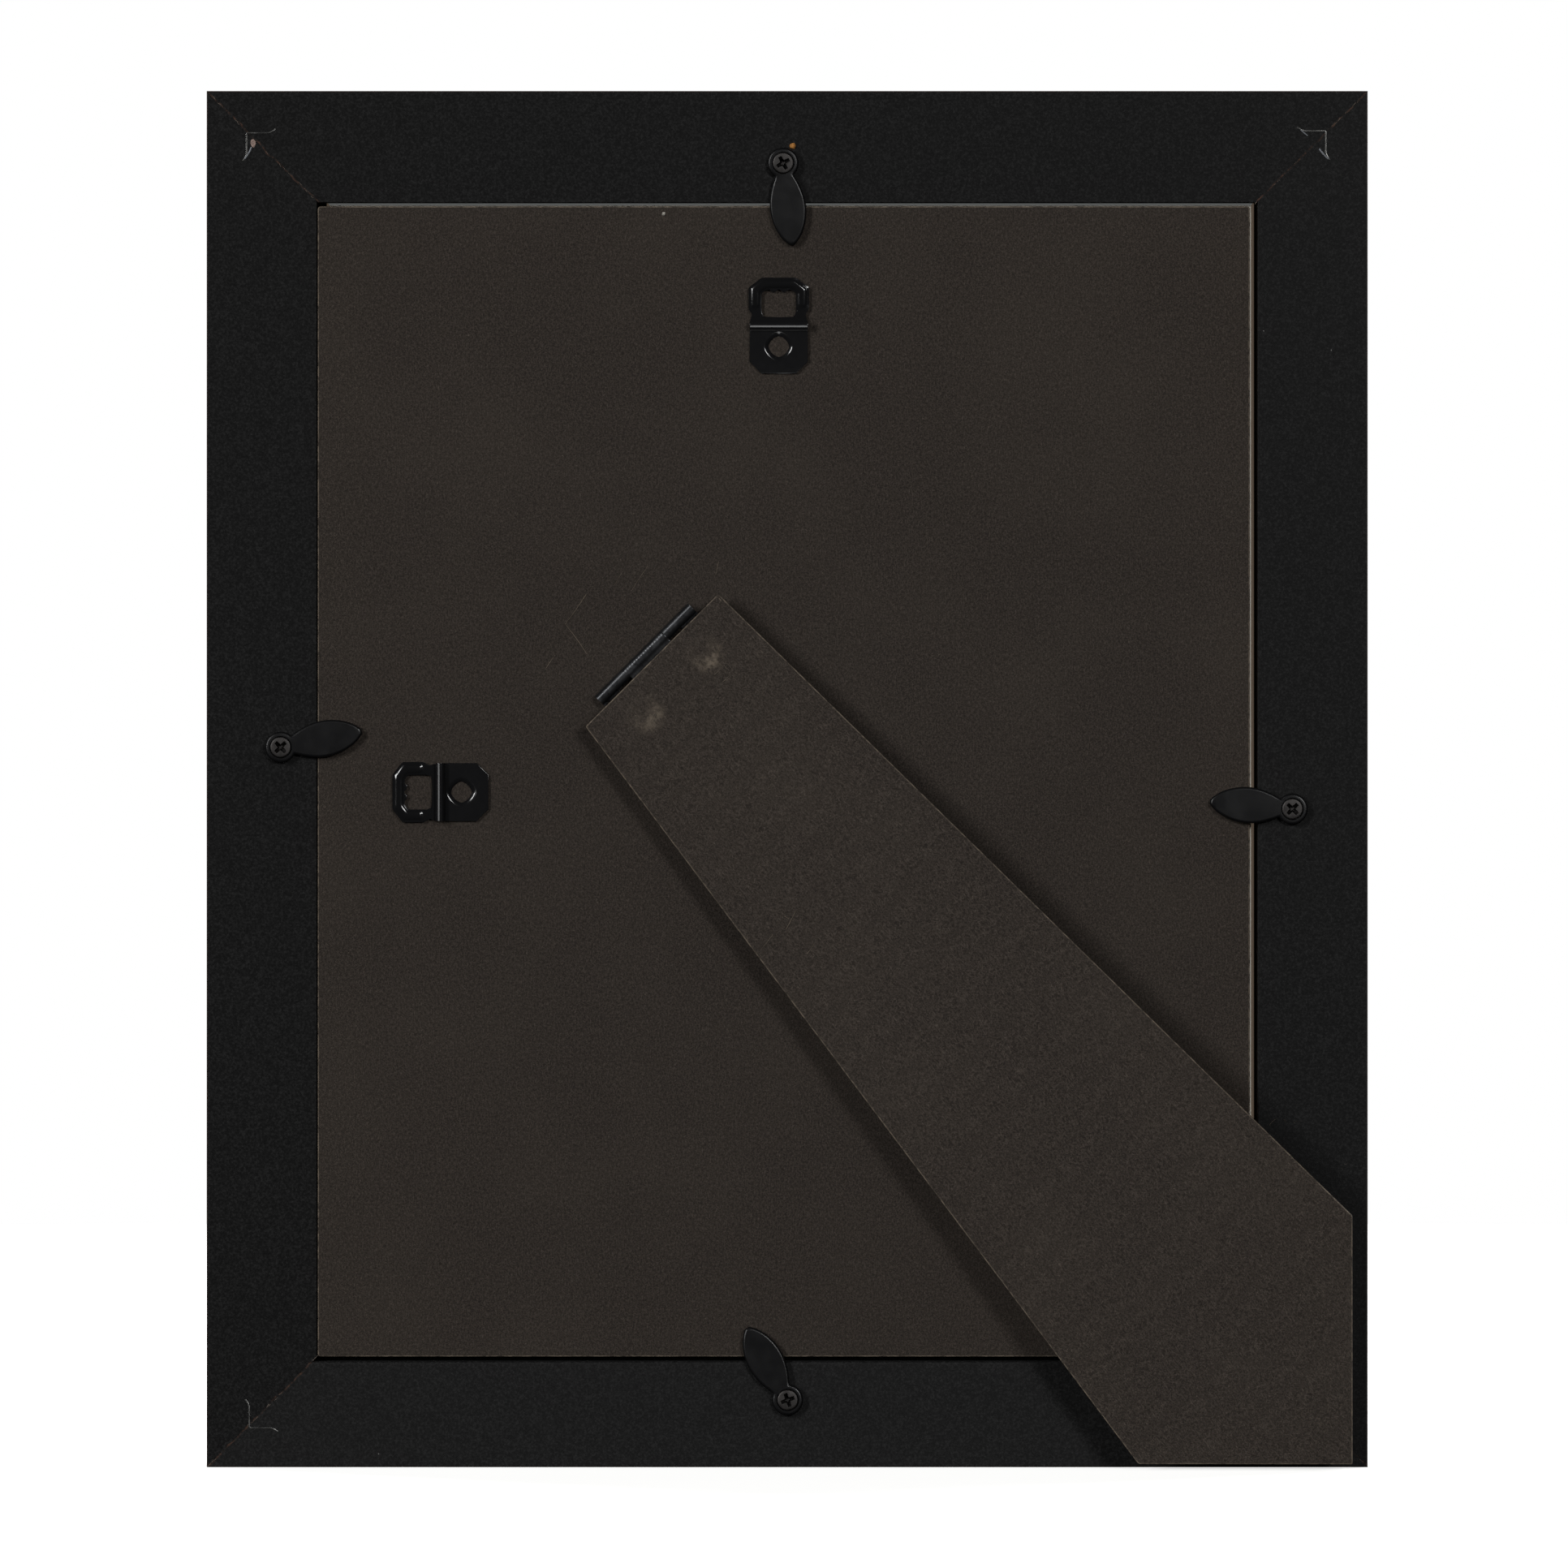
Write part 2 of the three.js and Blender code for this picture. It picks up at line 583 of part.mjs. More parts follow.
// Hinge frame: x along the pin, y off the board, z down the leg, with the pin on the x axis.
const RIMS_ON_LEAF = [-1, 1].map((side) => {
  return new THREE.Matrix4().makeTranslation((side * LEAF_RIM_SPREAD) / 2, -HINGE_RADIUS, LEAF_RIM_AT);
});
const TURNED_OVER = new THREE.Matrix4().makeRotationZ(Math.PI);

// A stamped leaf along the board side of the pin, rolled round the pin at its near edge over its whole length.
function rolledLeaf() {
  const middle = HINGE_RADIUS - HINGE_SHEET / 2;
  const path = [v2(LEAF_LENGTH, -middle), ...arcPoints(0, 0, middle, 270, HINGE_CURL_OPEN, FINE)];
  const half = HINGE_LENGTH / 2;
  const corner = [
    v2(half - LEAF_CORNER - OVERCUT, LEAF_LENGTH + OVERCUT),
    v2(half + OVERCUT, LEAF_LENGTH + OVERCUT),
    v2(half + OVERCUT, LEAF_LENGTH - LEAF_CORNER - OVERCUT),
  ];
  const sheet = runAlongX(strip(path, HINGE_SHEET), HINGE_LENGTH)
    .subtract(slab(polygon(corner), -HINGE_RADIUS - OVERCUT, 0))
    .subtract(slab(polygon(mirrored(corner)), -HINGE_RADIUS - OVERCUT, 0));
  return RIMS_ON_LEAF.reduce((leaf, matrix) => withRim(leaf, HINGE_SHEET, matrix), sheet);
}

function boardLeafSolid() {
  const reach = HINGE_RADIUS + OVERCUT;
  const middle = HINGE_MIDDLE / 2 + HINGE_GAP;
  const strap = HINGE_LENGTH / 2 - HINGE_STRAP;
  const low = -HINGE_RADIUS - OVERCUT;
  const high = low + OVERCUT + 2 * HINGE_SHEET;
  return rolledLeaf()
    .subtract(block(-middle, middle, -reach, reach, -reach, HINGE_BODY_AT))
    .subtract(block(-strap, strap, low, high, HINGE_SLOT_AT, HINGE_BODY_AT));
}

function legLeafSolid() {
  const reach = HINGE_RADIUS + OVERCUT;
  const middle = HINGE_MIDDLE / 2;
  const end = HINGE_LENGTH / 2 + OVERCUT;
  const leaf = rolledLeaf()
    .subtract(block(-end, -middle, -reach, reach, -reach, HINGE_BODY_AT))
    .subtract(block(middle, end, -reach, reach, -reach, HINGE_BODY_AT));
  return moved(leaf, TURNED_OVER);
}

function pinSolid() {
  const radius = HINGE_RADIUS - HINGE_SHEET - PIN_CLEARANCE;
  return runAlongX(polygon(arcPoints(0, 0, radius, 0, 360).slice(1)), HINGE_LENGTH);
}

// The leg in the hinge frame. Its feet are parallel to the frame's edges when it is closed.
function legSolid(hinge) {
  const toHinge = hinge.matrix.clone().invert();
  const footCorner = (x, z) => {
    const corner = new THREE.Vector3(x, 0, z).applyMatrix4(toHinge);
    return v2(corner.x, corner.z);
  };
  const footX = -FRAME_WIDTH / 2 + FOOT_SIDE_MARGIN;
  const outline = roundedPolygon([
    v2(-LEG_TOP_WIDTH / 2, LEG_TOP_AT),
    v2(LEG_TOP_WIDTH / 2, LEG_TOP_AT),
    footCorner(footX, FOOT_BOTTOM_MARGIN + FOOT_SIDE_LENGTH),
    footCorner(footX, FOOT_BOTTOM_MARGIN),
    footCorner(footX + FOOT_BOTTOM_LENGTH, FOOT_BOTTOM_MARGIN),
  ], LEG_CORNER);
  return RIMS_ON_LEAF.reduce((leg, rim) => {
    const place = TURNED_OVER.clone().multiply(rim);
    return leg.subtract(moved(rimSolid(HINGE_SHEET, RIM_CLEARANCE), place));
  }, slab(outline, HINGE_RADIUS, HINGE_RADIUS + LEG_THICKNESS));
}

function boardSolid(hinge, hangers) {
  const outline = rectangle(BOARD_WIDTH, BOARD_HEIGHT, BOARD_CENTRE_X, BOARD_CENTRE_Z);
  const blank = slab(roundedPolygon(outline, BOARD_CORNER), BACK - BOARD_THICKNESS, BACK);
  const rims = [
    ...RIMS_ON_LEAF.map((rim) => hinge.matrix.clone().multiply(rim)),
    ...hangers.map((hanger) => hanger.matrix.clone().multiply(RIM_PLACE)),
  ];
  return rims.reduce((board, place) => {
    return board.subtract(moved(rimSolid(HANGER_SHEET, RIM_CLEARANCE), place));
  }, blank);
}

function buildFrame() {
  const frame = new THREE.Group();
  const rails = {
    bottom: { group: groupAt(0, 0, 0, 0), length: FRAME_WIDTH },
    right: { group: groupAt(-FRAME_WIDTH / 2, 0, FRAME_HEIGHT / 2, 90), length: FRAME_HEIGHT },
    top: { group: groupAt(0, 0, FRAME_HEIGHT, 180), length: FRAME_WIDTH },
    left: { group: groupAt(FRAME_WIDTH / 2, 0, FRAME_HEIGHT / 2, -90), length: FRAME_HEIGHT },
  };
  Object.entries(rails).forEach(([name, { group, length }]) => {
    const place = BUTTONS[name];
    group.add(piece(name + "_rail", railSolid(length, place), MATERIALS.moulding));
    const button = groupAt(place.along, BACK, place.inset, place.turn);
    button.add(piece(name + "_turn_button", buttonSolid(), MATERIALS.buttonEnamel));
    const screw = groupAt(place.along, BACK + buttonSeat(), place.inset, place.screwTurn);
    screw.add(piece(name + "_button_screw", screwSolid(), MATERIALS.darkSteel));
    group.add(button, screw);
    frame.add(group);
  });
  const corners = {
    bottom_right: groupAt(-FRAME_WIDTH / 2, 0, 0, 0),
    top_right: groupAt(-FRAME_WIDTH / 2, 0, FRAME_HEIGHT, 90),
    top_left: groupAt(FRAME_WIDTH / 2, 0, FRAME_HEIGHT, 180),
    bottom_left: groupAt(FRAME_WIDTH / 2, 0, 0, -90),
  };
  Object.entries(corners).forEach(([name, corner]) => {
    corner.add(piece(name + "_v_nail", slab(nailOutline(0), BACK - NAIL_DEPTH, BACK), MATERIALS.steel));
    frame.add(corner);
  });
  return frame;
}

function buildPack(hinge, hangers) {
  const pack = new THREE.Group();
  const glassBack = REBATE_FLOOR + GLASS_THICKNESS;
  const insertBack = glassBack + INSERT_THICKNESS;
  const glass = polygon(rectangle(GLASS_WIDTH, GLASS_HEIGHT, GLASS_CENTRE_X, GLASS_CENTRE_Z));
  const insertWidth = GLASS_WIDTH - 2 * INSERT_MARGIN;
  const insertHeight = GLASS_HEIGHT - 2 * INSERT_MARGIN;
  const insert = polygon(rectangle(insertWidth, insertHeight, GLASS_CENTRE_X, GLASS_CENTRE_Z));
  pack.add(piece("glass_pane", slab(glass, REBATE_FLOOR, glassBack, GLASS_ARRIS), MATERIALS.glass));
  pack.add(piece("insert_sheet", slab(insert, glassBack, insertBack), MATERIALS.paper));
  pack.add(piece("backing_board", boardSolid(hinge, hangers), MATERIALS.fibreboard));
  return pack;
}

const hinge = groupAt(
  BOARD_CENTRE_X + HINGE_FROM_CENTRE_X,
  BACK + HINGE_RADIUS,
  BOARD_CENTRE_Z + HINGE_FROM_CENTRE_Z,
  HINGE_ANGLE,
);
hinge.add(piece("hinge_board_leaf", boardLeafSolid(), MATERIALS.steel));
hinge.add(piece("hinge_pin", pinSolid(), MATERIALS.steel));

// What swings on the pin.
const swing = new THREE.Group();
swing.rotation.x = THREE.MathUtils.degToRad(-LEG_OPEN);
swing.add(piece("hinge_leg_leaf", legLeafSolid(), MATERIALS.steel));
swing.add(piece("easel_leg", legSolid(hinge), MATERIALS.fibreboard));
hinge.add(swing);

const hangers = {
  top: groupAt(BOARD_CENTRE_X + HANGER_TOP_OFFSET, BACK, BOARD_TOP - HANGER_EDGE, 0),
  left: groupAt(BOARD_LEFT - HANGER_EDGE, BACK, BOARD_CENTRE_Z + HANGER_LEFT_OFFSET, 90),
};
Object.entries(hangers).forEach(([name, group]) => {
  group.add(piece(name + "_hanger_plate", hangerPlateSolid(), MATERIALS.enamel));
  group.add(piece(name + "_hanger_loop", hangerLoopSolid(), MATERIALS.enamel));
});

const pictureFrame = new THREE.Group();
pictureFrame.name = "picture_frame";
pictureFrame.add(buildFrame());
pictureFrame.add(buildPack(hinge, Object.values(hangers)));
pictureFrame.add(hinge, ...Object.values(hangers));

export default pictureFrame;
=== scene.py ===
"""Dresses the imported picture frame: painted moulding, fibreboard back and easel leg, stamped hangers, rolled
hinge, turn buttons and screws, glass and card, on a pale floor in soft light.

Pieces are modelled in millimetres in the frame of their own fitting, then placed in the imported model's frame.
There the picture faces -Y, the back faces +Y, and left and right are as seen from the back.
"""

import json
import math
import random
from functools import partial

import bmesh
import bpy
from bpy.props import FloatProperty, FloatVectorProperty, IntProperty, PointerProperty
from mathutils import Euler, Matrix, Vector
from mathutils.geometry import interpolate_bezier

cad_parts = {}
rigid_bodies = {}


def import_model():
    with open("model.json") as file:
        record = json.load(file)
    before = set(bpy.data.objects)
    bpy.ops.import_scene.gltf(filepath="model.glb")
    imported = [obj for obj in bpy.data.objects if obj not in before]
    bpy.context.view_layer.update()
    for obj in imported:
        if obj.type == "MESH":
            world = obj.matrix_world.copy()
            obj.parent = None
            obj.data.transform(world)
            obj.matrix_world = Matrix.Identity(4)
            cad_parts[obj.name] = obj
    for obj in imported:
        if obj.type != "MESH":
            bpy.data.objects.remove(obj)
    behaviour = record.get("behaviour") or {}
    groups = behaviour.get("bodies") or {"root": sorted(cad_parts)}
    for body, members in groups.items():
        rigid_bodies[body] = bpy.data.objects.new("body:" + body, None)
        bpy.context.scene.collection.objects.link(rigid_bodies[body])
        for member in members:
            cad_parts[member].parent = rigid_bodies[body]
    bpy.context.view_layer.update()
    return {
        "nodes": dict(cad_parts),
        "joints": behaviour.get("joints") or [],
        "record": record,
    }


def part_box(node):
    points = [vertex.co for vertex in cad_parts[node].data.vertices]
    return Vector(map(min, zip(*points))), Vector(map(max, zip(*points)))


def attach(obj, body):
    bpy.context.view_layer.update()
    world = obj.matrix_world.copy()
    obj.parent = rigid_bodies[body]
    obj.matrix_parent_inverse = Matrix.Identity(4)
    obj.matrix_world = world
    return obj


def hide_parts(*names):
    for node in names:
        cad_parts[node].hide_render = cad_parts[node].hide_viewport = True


bl_info = {
    "name": "Picture Frame Dressing",
    "version": (1, 0, 0),
    "blender": (4, 5, 0),
    "location": "View3D > Sidebar > Picture Frame",
    "description": "Builds the visible pieces of an easel-backed picture frame round its packed model",
    "category": "Object",
}

MM = 0.001
ALONG_X, ALONG_Y = (1, 0, 0), (0, 1, 0)
# Vertices of a sheet that lie this close are one, in millimetres.
WELD = 1e-4

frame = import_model()
JOINTS = {joint["name"]: joint for joint in frame["joints"]}
BODY_OF = {node: body for body, nodes in frame["record"]["behaviour"]["bodies"].items() for node in nodes}

RAIL_LOW, RAIL_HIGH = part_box("bottom_rail")
BOARD_LOW, BOARD_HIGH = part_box("backing_board")
WIDTH = RAIL_HIGH.x - RAIL_LOW.x
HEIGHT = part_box("left_rail")[1].z
BACK = RAIL_HIGH.y
FRONT = RAIL_LOW.y

# Where each rail's own frame stands, with x along the rail and z in from its outer edge, the rail's length,
# and how pale its paint is drawn: painted light, making up for light the rail misses, most of all the bottom
# rail.
RAILS = {
    "bottom": (Vector((0, 0, 0)), 0, WIDTH, 2),
    "right": (Vector((-WIDTH / 2, 0, HEIGHT / 2)), 90, HEIGHT, 1.28),
    "top": (Vector((0, 0, HEIGHT)), 180, WIDTH, 1.1),
    "left": (Vector((WIDTH / 2, 0, HEIGHT / 2)), -90, HEIGHT, 1.17),
}
# How much wider than usual some rails' backs are, and the rounding of their inner edges, in millimetres.
UNEVEN_BACKS = {"top": (0.35, 0.2), "bottom": (-0.9, 0.7), "right": (0, 0.3)}
CORNERS = {
    "bottom_right": (Vector((-WIDTH / 2, BACK, 0)), 0),
    "top_right": (Vector((-WIDTH / 2, BACK, HEIGHT)), 90),
    "top_left": (Vector((WIDTH / 2, BACK, HEIGHT)), 180),
    "bottom_left": (Vector((WIDTH / 2, BACK, 0)), -90),
}
# How far some V-nails were driven from their usual place, in x and z in millimetres.
STRAYED = {"top_right": (0, 0.44), "top_left": (0.46, 0), "bottom_left": (-0.13, -0.6)}
# Turns of each button's leaf and of its screw's cross, from the rail's own frame, in degrees.
BUTTON_TURNS = {"top": (6.3, 29), "right": (-4.9, 45), "bottom": (29.4, 20), "left": (11.1, 44)}
HANGER_TURNS = {"top": 0, "left": 90}
# Long fibres on the board near the hinge, and scratches on the leg: ends in x and z, and radius, in
# millimetres.
LONG_FIBRES = (
    ((44.3, 192.4), (48.7, 185.6), 0.09),
    ((48.7, 185.6), (43.9, 179.4), 0.08),
    ((34.3, 193.2), (30.9, 198.7), 0.035),
    ((38.1, 194.3), (36.6, 197.1), 0.035),
    ((15.7, 196.8), (15.2, 199.7), 0.04),
    ((53.1, 176.2), (51.2, 179.1), 0.055),
)
LEG_SCRATCHES = (
    ((13.6, 176.7), (15.9, 174.4), 0.04),
    ((12.3, 174.6), (14.1, 172.8), 0.04),
    ((-2, 122.6), (0, 118.4), 0.06),
    ((0.5, 121.4), (-0.5, 120.9), 0.06),
    ((3, 117.4), (5.6, 113.9), 0.04),
    ((-6.3, 115.7), (-4.6, 113), 0.04),
    ((14.9, 191.4), (14.4, 190.7), 0.14),
)
HINGE_TURN = -135
# The hinge's own frame has x along the pin and z down the leg. The leg stands open by its way back to closed.
HINGE = JOINTS["leg_hinge"]
AT_HINGE = Matrix.LocRotScale(Vector(HINGE["pos_m"]), Euler((0, math.radians(HINGE_TURN), 0)), None)
AT_SWING = AT_HINGE @ Matrix.Rotation(math.radians(HINGE["range_deg"][0]), 4, "X")
# What the photograph spans at the frame's back, and where its middle falls in x and z, in metres.
PHOTO_SPAN = 0.3456
PHOTO_MIDDLE = (0.0007, 0.1506)


def linear(hex_colour):
    """An sRGB hex colour as the linear values that shaders take."""
    parts = [int(hex_colour[i : i + 2], 16) / 255 for i in (0, 2, 4)]
    return tuple(p / 12.92 if p <= 0.04045 else ((p + 0.055) / 1.055) ** 2.4 for p in parts)


def length(name, description, millimetres):
    """A length that a user may change, shown in the scene's own unit."""
    return FloatProperty(
        name=name, description=description, default=millimetres * MM, unit="LENGTH", precision=5
    )


def colour(name, description, hex_colour):
    """A colour that a user may change."""
    return FloatVectorProperty(
        name=name, description=description, default=linear(hex_colour), subtype="COLOR", min=0, max=1
    )


def amount(name, description, value):
    """A plain number that a user may change."""
    return FloatProperty(name=name, description=description, default=value, min=0)


def watts(name, description, value):
    """A lamp's power that a user may change."""
    return FloatProperty(name=name, description=description, default=value, unit="POWER")


class MouldingSettings(bpy.types.PropertyGroup):
    """The moulding, its mitres and the V-nails across them"""

    back_width: length("Back width", "Flat back, outer edge to rebate wall", 24.3)
    rebate: length("Rebate", "Depth of the step that the glass lies in", 5.4)
    lap: length("Lap", "How far the lip laps over the glass", 6)
    lip: length("Lip", "Thickness of the lip at the sight edge", 4)
    sight_strip: length("Sight strip", "Flat strip along the sight edge", 2.2)
    cove: length("Cove", "Hollow between the sight strip and the face", 7)
    face_round: length("Face round", "Rounding of the outer edge of the face", 2.5)
    arris: length("Arris", "Rounding of the other edges", 0.4)
    back_arris: length("Back arris", "Usual rounding of the back's inner edge", 0.2)
    mitre_gap: length("Mitre gap", "Half of the hairline at each mitre", 0.003)
    mitre_arris: length("Mitre arris", "Rounding of the mitred ends", 0.01)
    nail_inset: length("Nail inset", "Outer edges to the point of a V-nail", 9.1)
    nail_arm: length("Nail arm", "Length of each arm of a V-nail", 6.4)
    nail_curl: length("Nail curl", "How far each arm's end flicks outwards", 0.8)
    nail_bend: length("Nail bend", "Rounding of a V-nail's bends", 0.45)
    nail_sheet: length("Nail sheet", "Thickness of a V-nail", 0.32)
    nail_depth: length("Nail depth", "How deep a V-nail goes in", 9)
    nail_proud: length("Nail proud", "How far a V-nail stands off the back", 0.06)
    paint: colour("Paint", "Satin black paint", "111111")
    bare_wood: colour("Bare wood", "Wood that shows along the edges and mitres", "573F33")
    steel: colour("Nail steel", "Bare steel of the V-nails", "6A6A68")
    burr: colour("Burrs", "Steel scraped bright at the nails' ends", "D4D9E0")
    dust: colour("Dust", "Dust on the paint", "9A9A96")
    splinter: colour("Splinters", "Pale splinters along the mitres", "8A7F74")


class BoardSettings(bpy.types.PropertyGroup):
    """The backing board and the easel leg"""

    drop: length("Drop", "How far the board has slipped down", 0.75)
    corner: length("Board corner", "Rounding of the board's corners", 0.6)
    edge: length("Edge", "Rounding of the sawn edges", 0.36)
    leg_corner: length("Leg corner", "Rounding of the leg's corners", 0.45)
    leg_top: length("Leg top", "Width of the leg's top edge", 41.4)
    leg_top_at: length("Leg top edge", "Hinge pin to the leg's top edge", 2.05)
    leg_thickness: length("Leg thickness", "Thickness of the leg's board", 3)
    foot_side_margin: length("Side foot margin", "Frame's side to the side foot", 3.7)
    foot_bottom_margin: length("Bottom foot margin", "Frame's bottom to the bottom foot", 1.1)
    foot_side: length("Side foot", "Foot edge for standing the frame on its side", 54.6)
    foot_bottom: length("Bottom foot", "Foot edge for standing the frame upright", 47)
    bump_radius: length("Bump radius", "Radius of the bumps over the clinched rims", 2.7)
    bump_height: length("Bump height", "How far the bumps rise", 0.22)
    loose_fibres: IntProperty(
        name="Loose fibres", description="Fibres that stand off the board", default=1500, min=0
    )
    board: colour("Board", "Dark pressed fibreboard", "3A342F")
    fibre: colour("Fibre", "Pale fibres in the board", "6B6256")
    loose: colour("Loose fibre", "Fibres that stand off the board", "50473D")
    worn: colour("Worn edge", "Board where its edges are rubbed", "85796A")


class HangerSettings(bpy.types.PropertyGroup):
    """The stamped hangers"""

    sheet: length("Sheet", "Thickness of the steel", 0.6)
    plate_width: length("Plate width", "Along the roll", 12.84)
    plate_length: length("Plate length", "Roll's axis to the far edge", 10.65)
    plate_chamfer: length("Plate chamfer", "Cut corners of the plate", 2.6)
    roll: length("Roll", "Outside radius of the roll", 1.16)
    roll_height: length("Roll height", "Roll's axis above the board", 1)
    roll_bend: length("Roll bend", "Radius of the bend up into the roll", 0.33)
    rim_at: length("Rim place", "Roll's axis to the middle of the hole", 4.7)
    rim_mouth: length("Rim mouth", "Radius of the dish round the hole", 3.42)
    rim_hole: length("Rim hole", "Radius of the hole", 2.15)
    rim_depth: length("Rim depth", "How deep the rim goes into the board", 2)
    loop_gap: length("Loop gap", "Loop above the board", 0.1)
    bar: length("Bar", "Radius of the loop's bar in the roll", 0.46)
    bar_width: length("Bar width", "Length of the loop's bar", 12.5)
    rib: length("Rib", "How far the loop's rib is pressed up", 0.28)
    tooth: length("Tooth", "Depth of the sawteeth", 0.55)
    edge: length("Edge", "Rounding of the sheared edges", 0.2)
    enamel: colour("Enamel", "Gloss black enamel", "131314")
    dust: colour("Dust", "Dust on the enamel", "8C8C8A")


class HingeSettings(bpy.types.PropertyGroup):
    """The easel leg's hinge"""

    sheet: length("Sheet", "Thickness of the steel", 0.55)
    radius: length("Radius", "Outside radius of the knuckles", 1.4)
    span: length("Span", "Length of the hinge", 29)
    middle: length("Middle", "Length of the leg leaf's knuckle", 11.8)
    gap: length("Gap", "Between knuckles", 0.01)
    strap: length("Strap", "Width of the straps at the ends", 4.8)
    slot_at: length("Slot", "Pin to the windows beside the straps", 0.6)
    body_at: length("Body", "Pin to the flat of each leaf", 3.4)
    leaf: length("Leaf", "Pin to the far edge", 14.5)
    leaf_corner: length("Leaf corner", "Rounding of the leaf's corners", 2)
    rim_at: length("Rim place", "Pin to the clinched rims", 9.25)
    rim_spread: length("Rim spread", "Between the clinched rims", 18.4)
    pin: length("Pin", "Radius of the pin", 0.75)
    burr: length("Burr", "Depth of the tool marks on the middle knuckle", 0.016)
    burr_pitch: length("Burr pitch", "Spacing of the tool marks", 0.7)
    dip: length("Dip", "How far the leg's leaf drops between knuckle and leg", 0.45)
    edge: length("Edge", "Rounding of the sheared edges", 0.02)
    steel: colour("Steel", "Dull zinc-plated steel", "494A4C")


class ButtonSettings(bpy.types.PropertyGroup):
    """The turn buttons and their screws"""

    reach: length("Reach", "Screw to tip", 18.2)
    boss: length("Boss", "Radius of the boss", 3.43)
    neck: length("Neck", "Half width beside the boss", 2.05)
    leaf: length("Leaf", "Half width at the widest place", 4)
    leaf_at: length("Leaf place", "Screw to the widest place", 9.8)
    tip: length("Tip", "Half width of the blunted point", 0.5)
    thickness: length("Thickness", "Leaf and boss alike", 1.7)
    edge: length("Edge", "Rounded edges", 0.6)
    head: length("Screw head", "Radius of the screw's head", 2.3)
    head_gap: length("Head gap", "Round the screw's head and its shank", 0.12)
    head_height: length("Head height", "Height of the screw's head", 1)
    head_sunk: length("Head sunk", "Head's rim below the face of the boss", 0.65)
    shank: length("Shank", "Radius of the screw over its thread", 1.45)
    screw: length("Screw length", "Under the head", 10)
    cross: length("Cross", "Driver recess, tip to tip", 3.1)
    cross_slot: length("Cross slot", "Width of the recess's arms", 0.95)
    satin: colour("Satin", "Satin black of the buttons", "0E0E0F")
    steel: colour("Screw steel", "Blackened steel of the screws", "464443")


class GlazingSettings(bpy.types.PropertyGroup):
    """The glass and the card behind it"""

    ground: length("Ground edge", "Width of the glass's ground edge", 1.4)
    tint: colour("Tint", "Clear float glass", "FAFDFB")
    # The ground band's tints also colour its painted glow. The sides' warmer tint is a painted cast of the
    # board's colour.
    edge_tint: colour("Edge tint", "Ground edge along the glass's top and bottom", "939695")
    side_tint: colour("Side tint", "Ground edge along the glass's sides, yellowed by the board", "7D6E5F")
    # Strength of the ground edge's emission: a painted glow, not a lamp.
    painted_edge_glow: amount("Edge glow", "Light that the ground edge passes on", 0.3)
    card: colour("Card", "Plain off-white card", "E9E5DA")


class StudioSettings(bpy.types.PropertyGroup):
    """Floor, light and camera"""

    floor: colour("Floor", "Pale floor", "F6F6F5")
    left_power: watts("Left light", "Softbox up on the left", 165)
    right_power: watts("Right light", "Softbox up on the right", 62)
    card_power: watts("Card", "Lit card behind the left hanger. The top one's is a third of it", 0.2)
    front_power: watts("Front light", "Each light on the picture side", 14)
    ambient: amount("Ambient", "Even light from all round", 0.02)
    glow: amount("Floor glow", "Light from inside the opal floor", 0.8)
    lens: FloatProperty(name="Lens", description="Focal length", default=300, min=1, unit="CAMERA")


class PictureFrameSettings(bpy.types.PropertyGroup):
    """All that can be changed about the dressing"""

    moulding: PointerProperty(type=MouldingSettings)
    board: PointerProperty(type=BoardSettings)
    hanger: PointerProperty(type=HangerSettings)
    hinge: PointerProperty(type=HingeSettings)
    button: PointerProperty(type=ButtonSettings)
    glazing: PointerProperty(type=GlazingSettings)
    studio: PointerProperty(type=StudioSettings)


class Millimetres:
    """A settings group's lengths in millimetres, the unit that the pieces are modelled in."""

    def __init__(self, settings):
        self.settings = settings

    def __getattr__(self, name):
        return getattr(self.settings, name) / MM


def add_node(tree, kind, inputs=None, output=0, **settings):
    """Adds a node with its settings, feeds its inputs with values or other outputs, and gives an output.

    Inputs go by name or number. Of a Map Range, 0 is the value, 1 and 2 are the range that it comes in, and 3
    and 4 the range that it goes out in. Of a Mix of colours, 0 is the share, 6 and 7 are the colours, and
    output 2 is the result."""
    made = tree.nodes.new("ShaderNode" + kind)
    for name, value in settings.items():
        setattr(made, name, value)
    for name, value in (inputs or {}).items():
        if isinstance(value, bpy.types.NodeSocket):
            tree.links.new(value, made.inputs[name])
        else:
            made.inputs[name].default_value = value
    return made.outputs[output] if made.outputs else None


def new_material(name):
    """An empty material, a function that adds nodes to it, and its piece's own coordinates."""
    material = bpy.data.materials.new(name)
    material.use_nodes = True
    material.node_tree.nodes.clear()
    add = partial(add_node, material.node_tree)
    return material, add, add("TexCoord", output="Object")


def surface(add, **inputs):
    """Ends a material with its shader. Underscores stand for spaces in the names of the shader's inputs."""
    shader = add("BsdfPrincipled", {name.replace("_", " "): value for name, value in inputs.items()})
    add("OutputMaterial", {"Surface": shader})


def toned(rgb, factor=1.0):
    """A colour made lighter or darker, with its alpha."""
    return (*(min(1, part * factor) for part in rgb), 1)


def cloud(add, coords, size, turn=0, detail=2.0, roughness=0.55):
    """Cloudy values round 0.5. Size is that of the lumps in millimetres along each axis, turned about Y."""
    sizes = [side * MM for side in (size if isinstance(size, tuple) else (size,) * 3)]
    turned = {"Vector": coords, "Rotation": (0, math.radians(turn), 0), "Scale": sizes}
    lumps = add("Mapping", turned, vector_type="TEXTURE")
    return add("TexNoise", {"Vector": lumps, "Scale": 1.0, "Detail": detail, "Roughness": roughness})


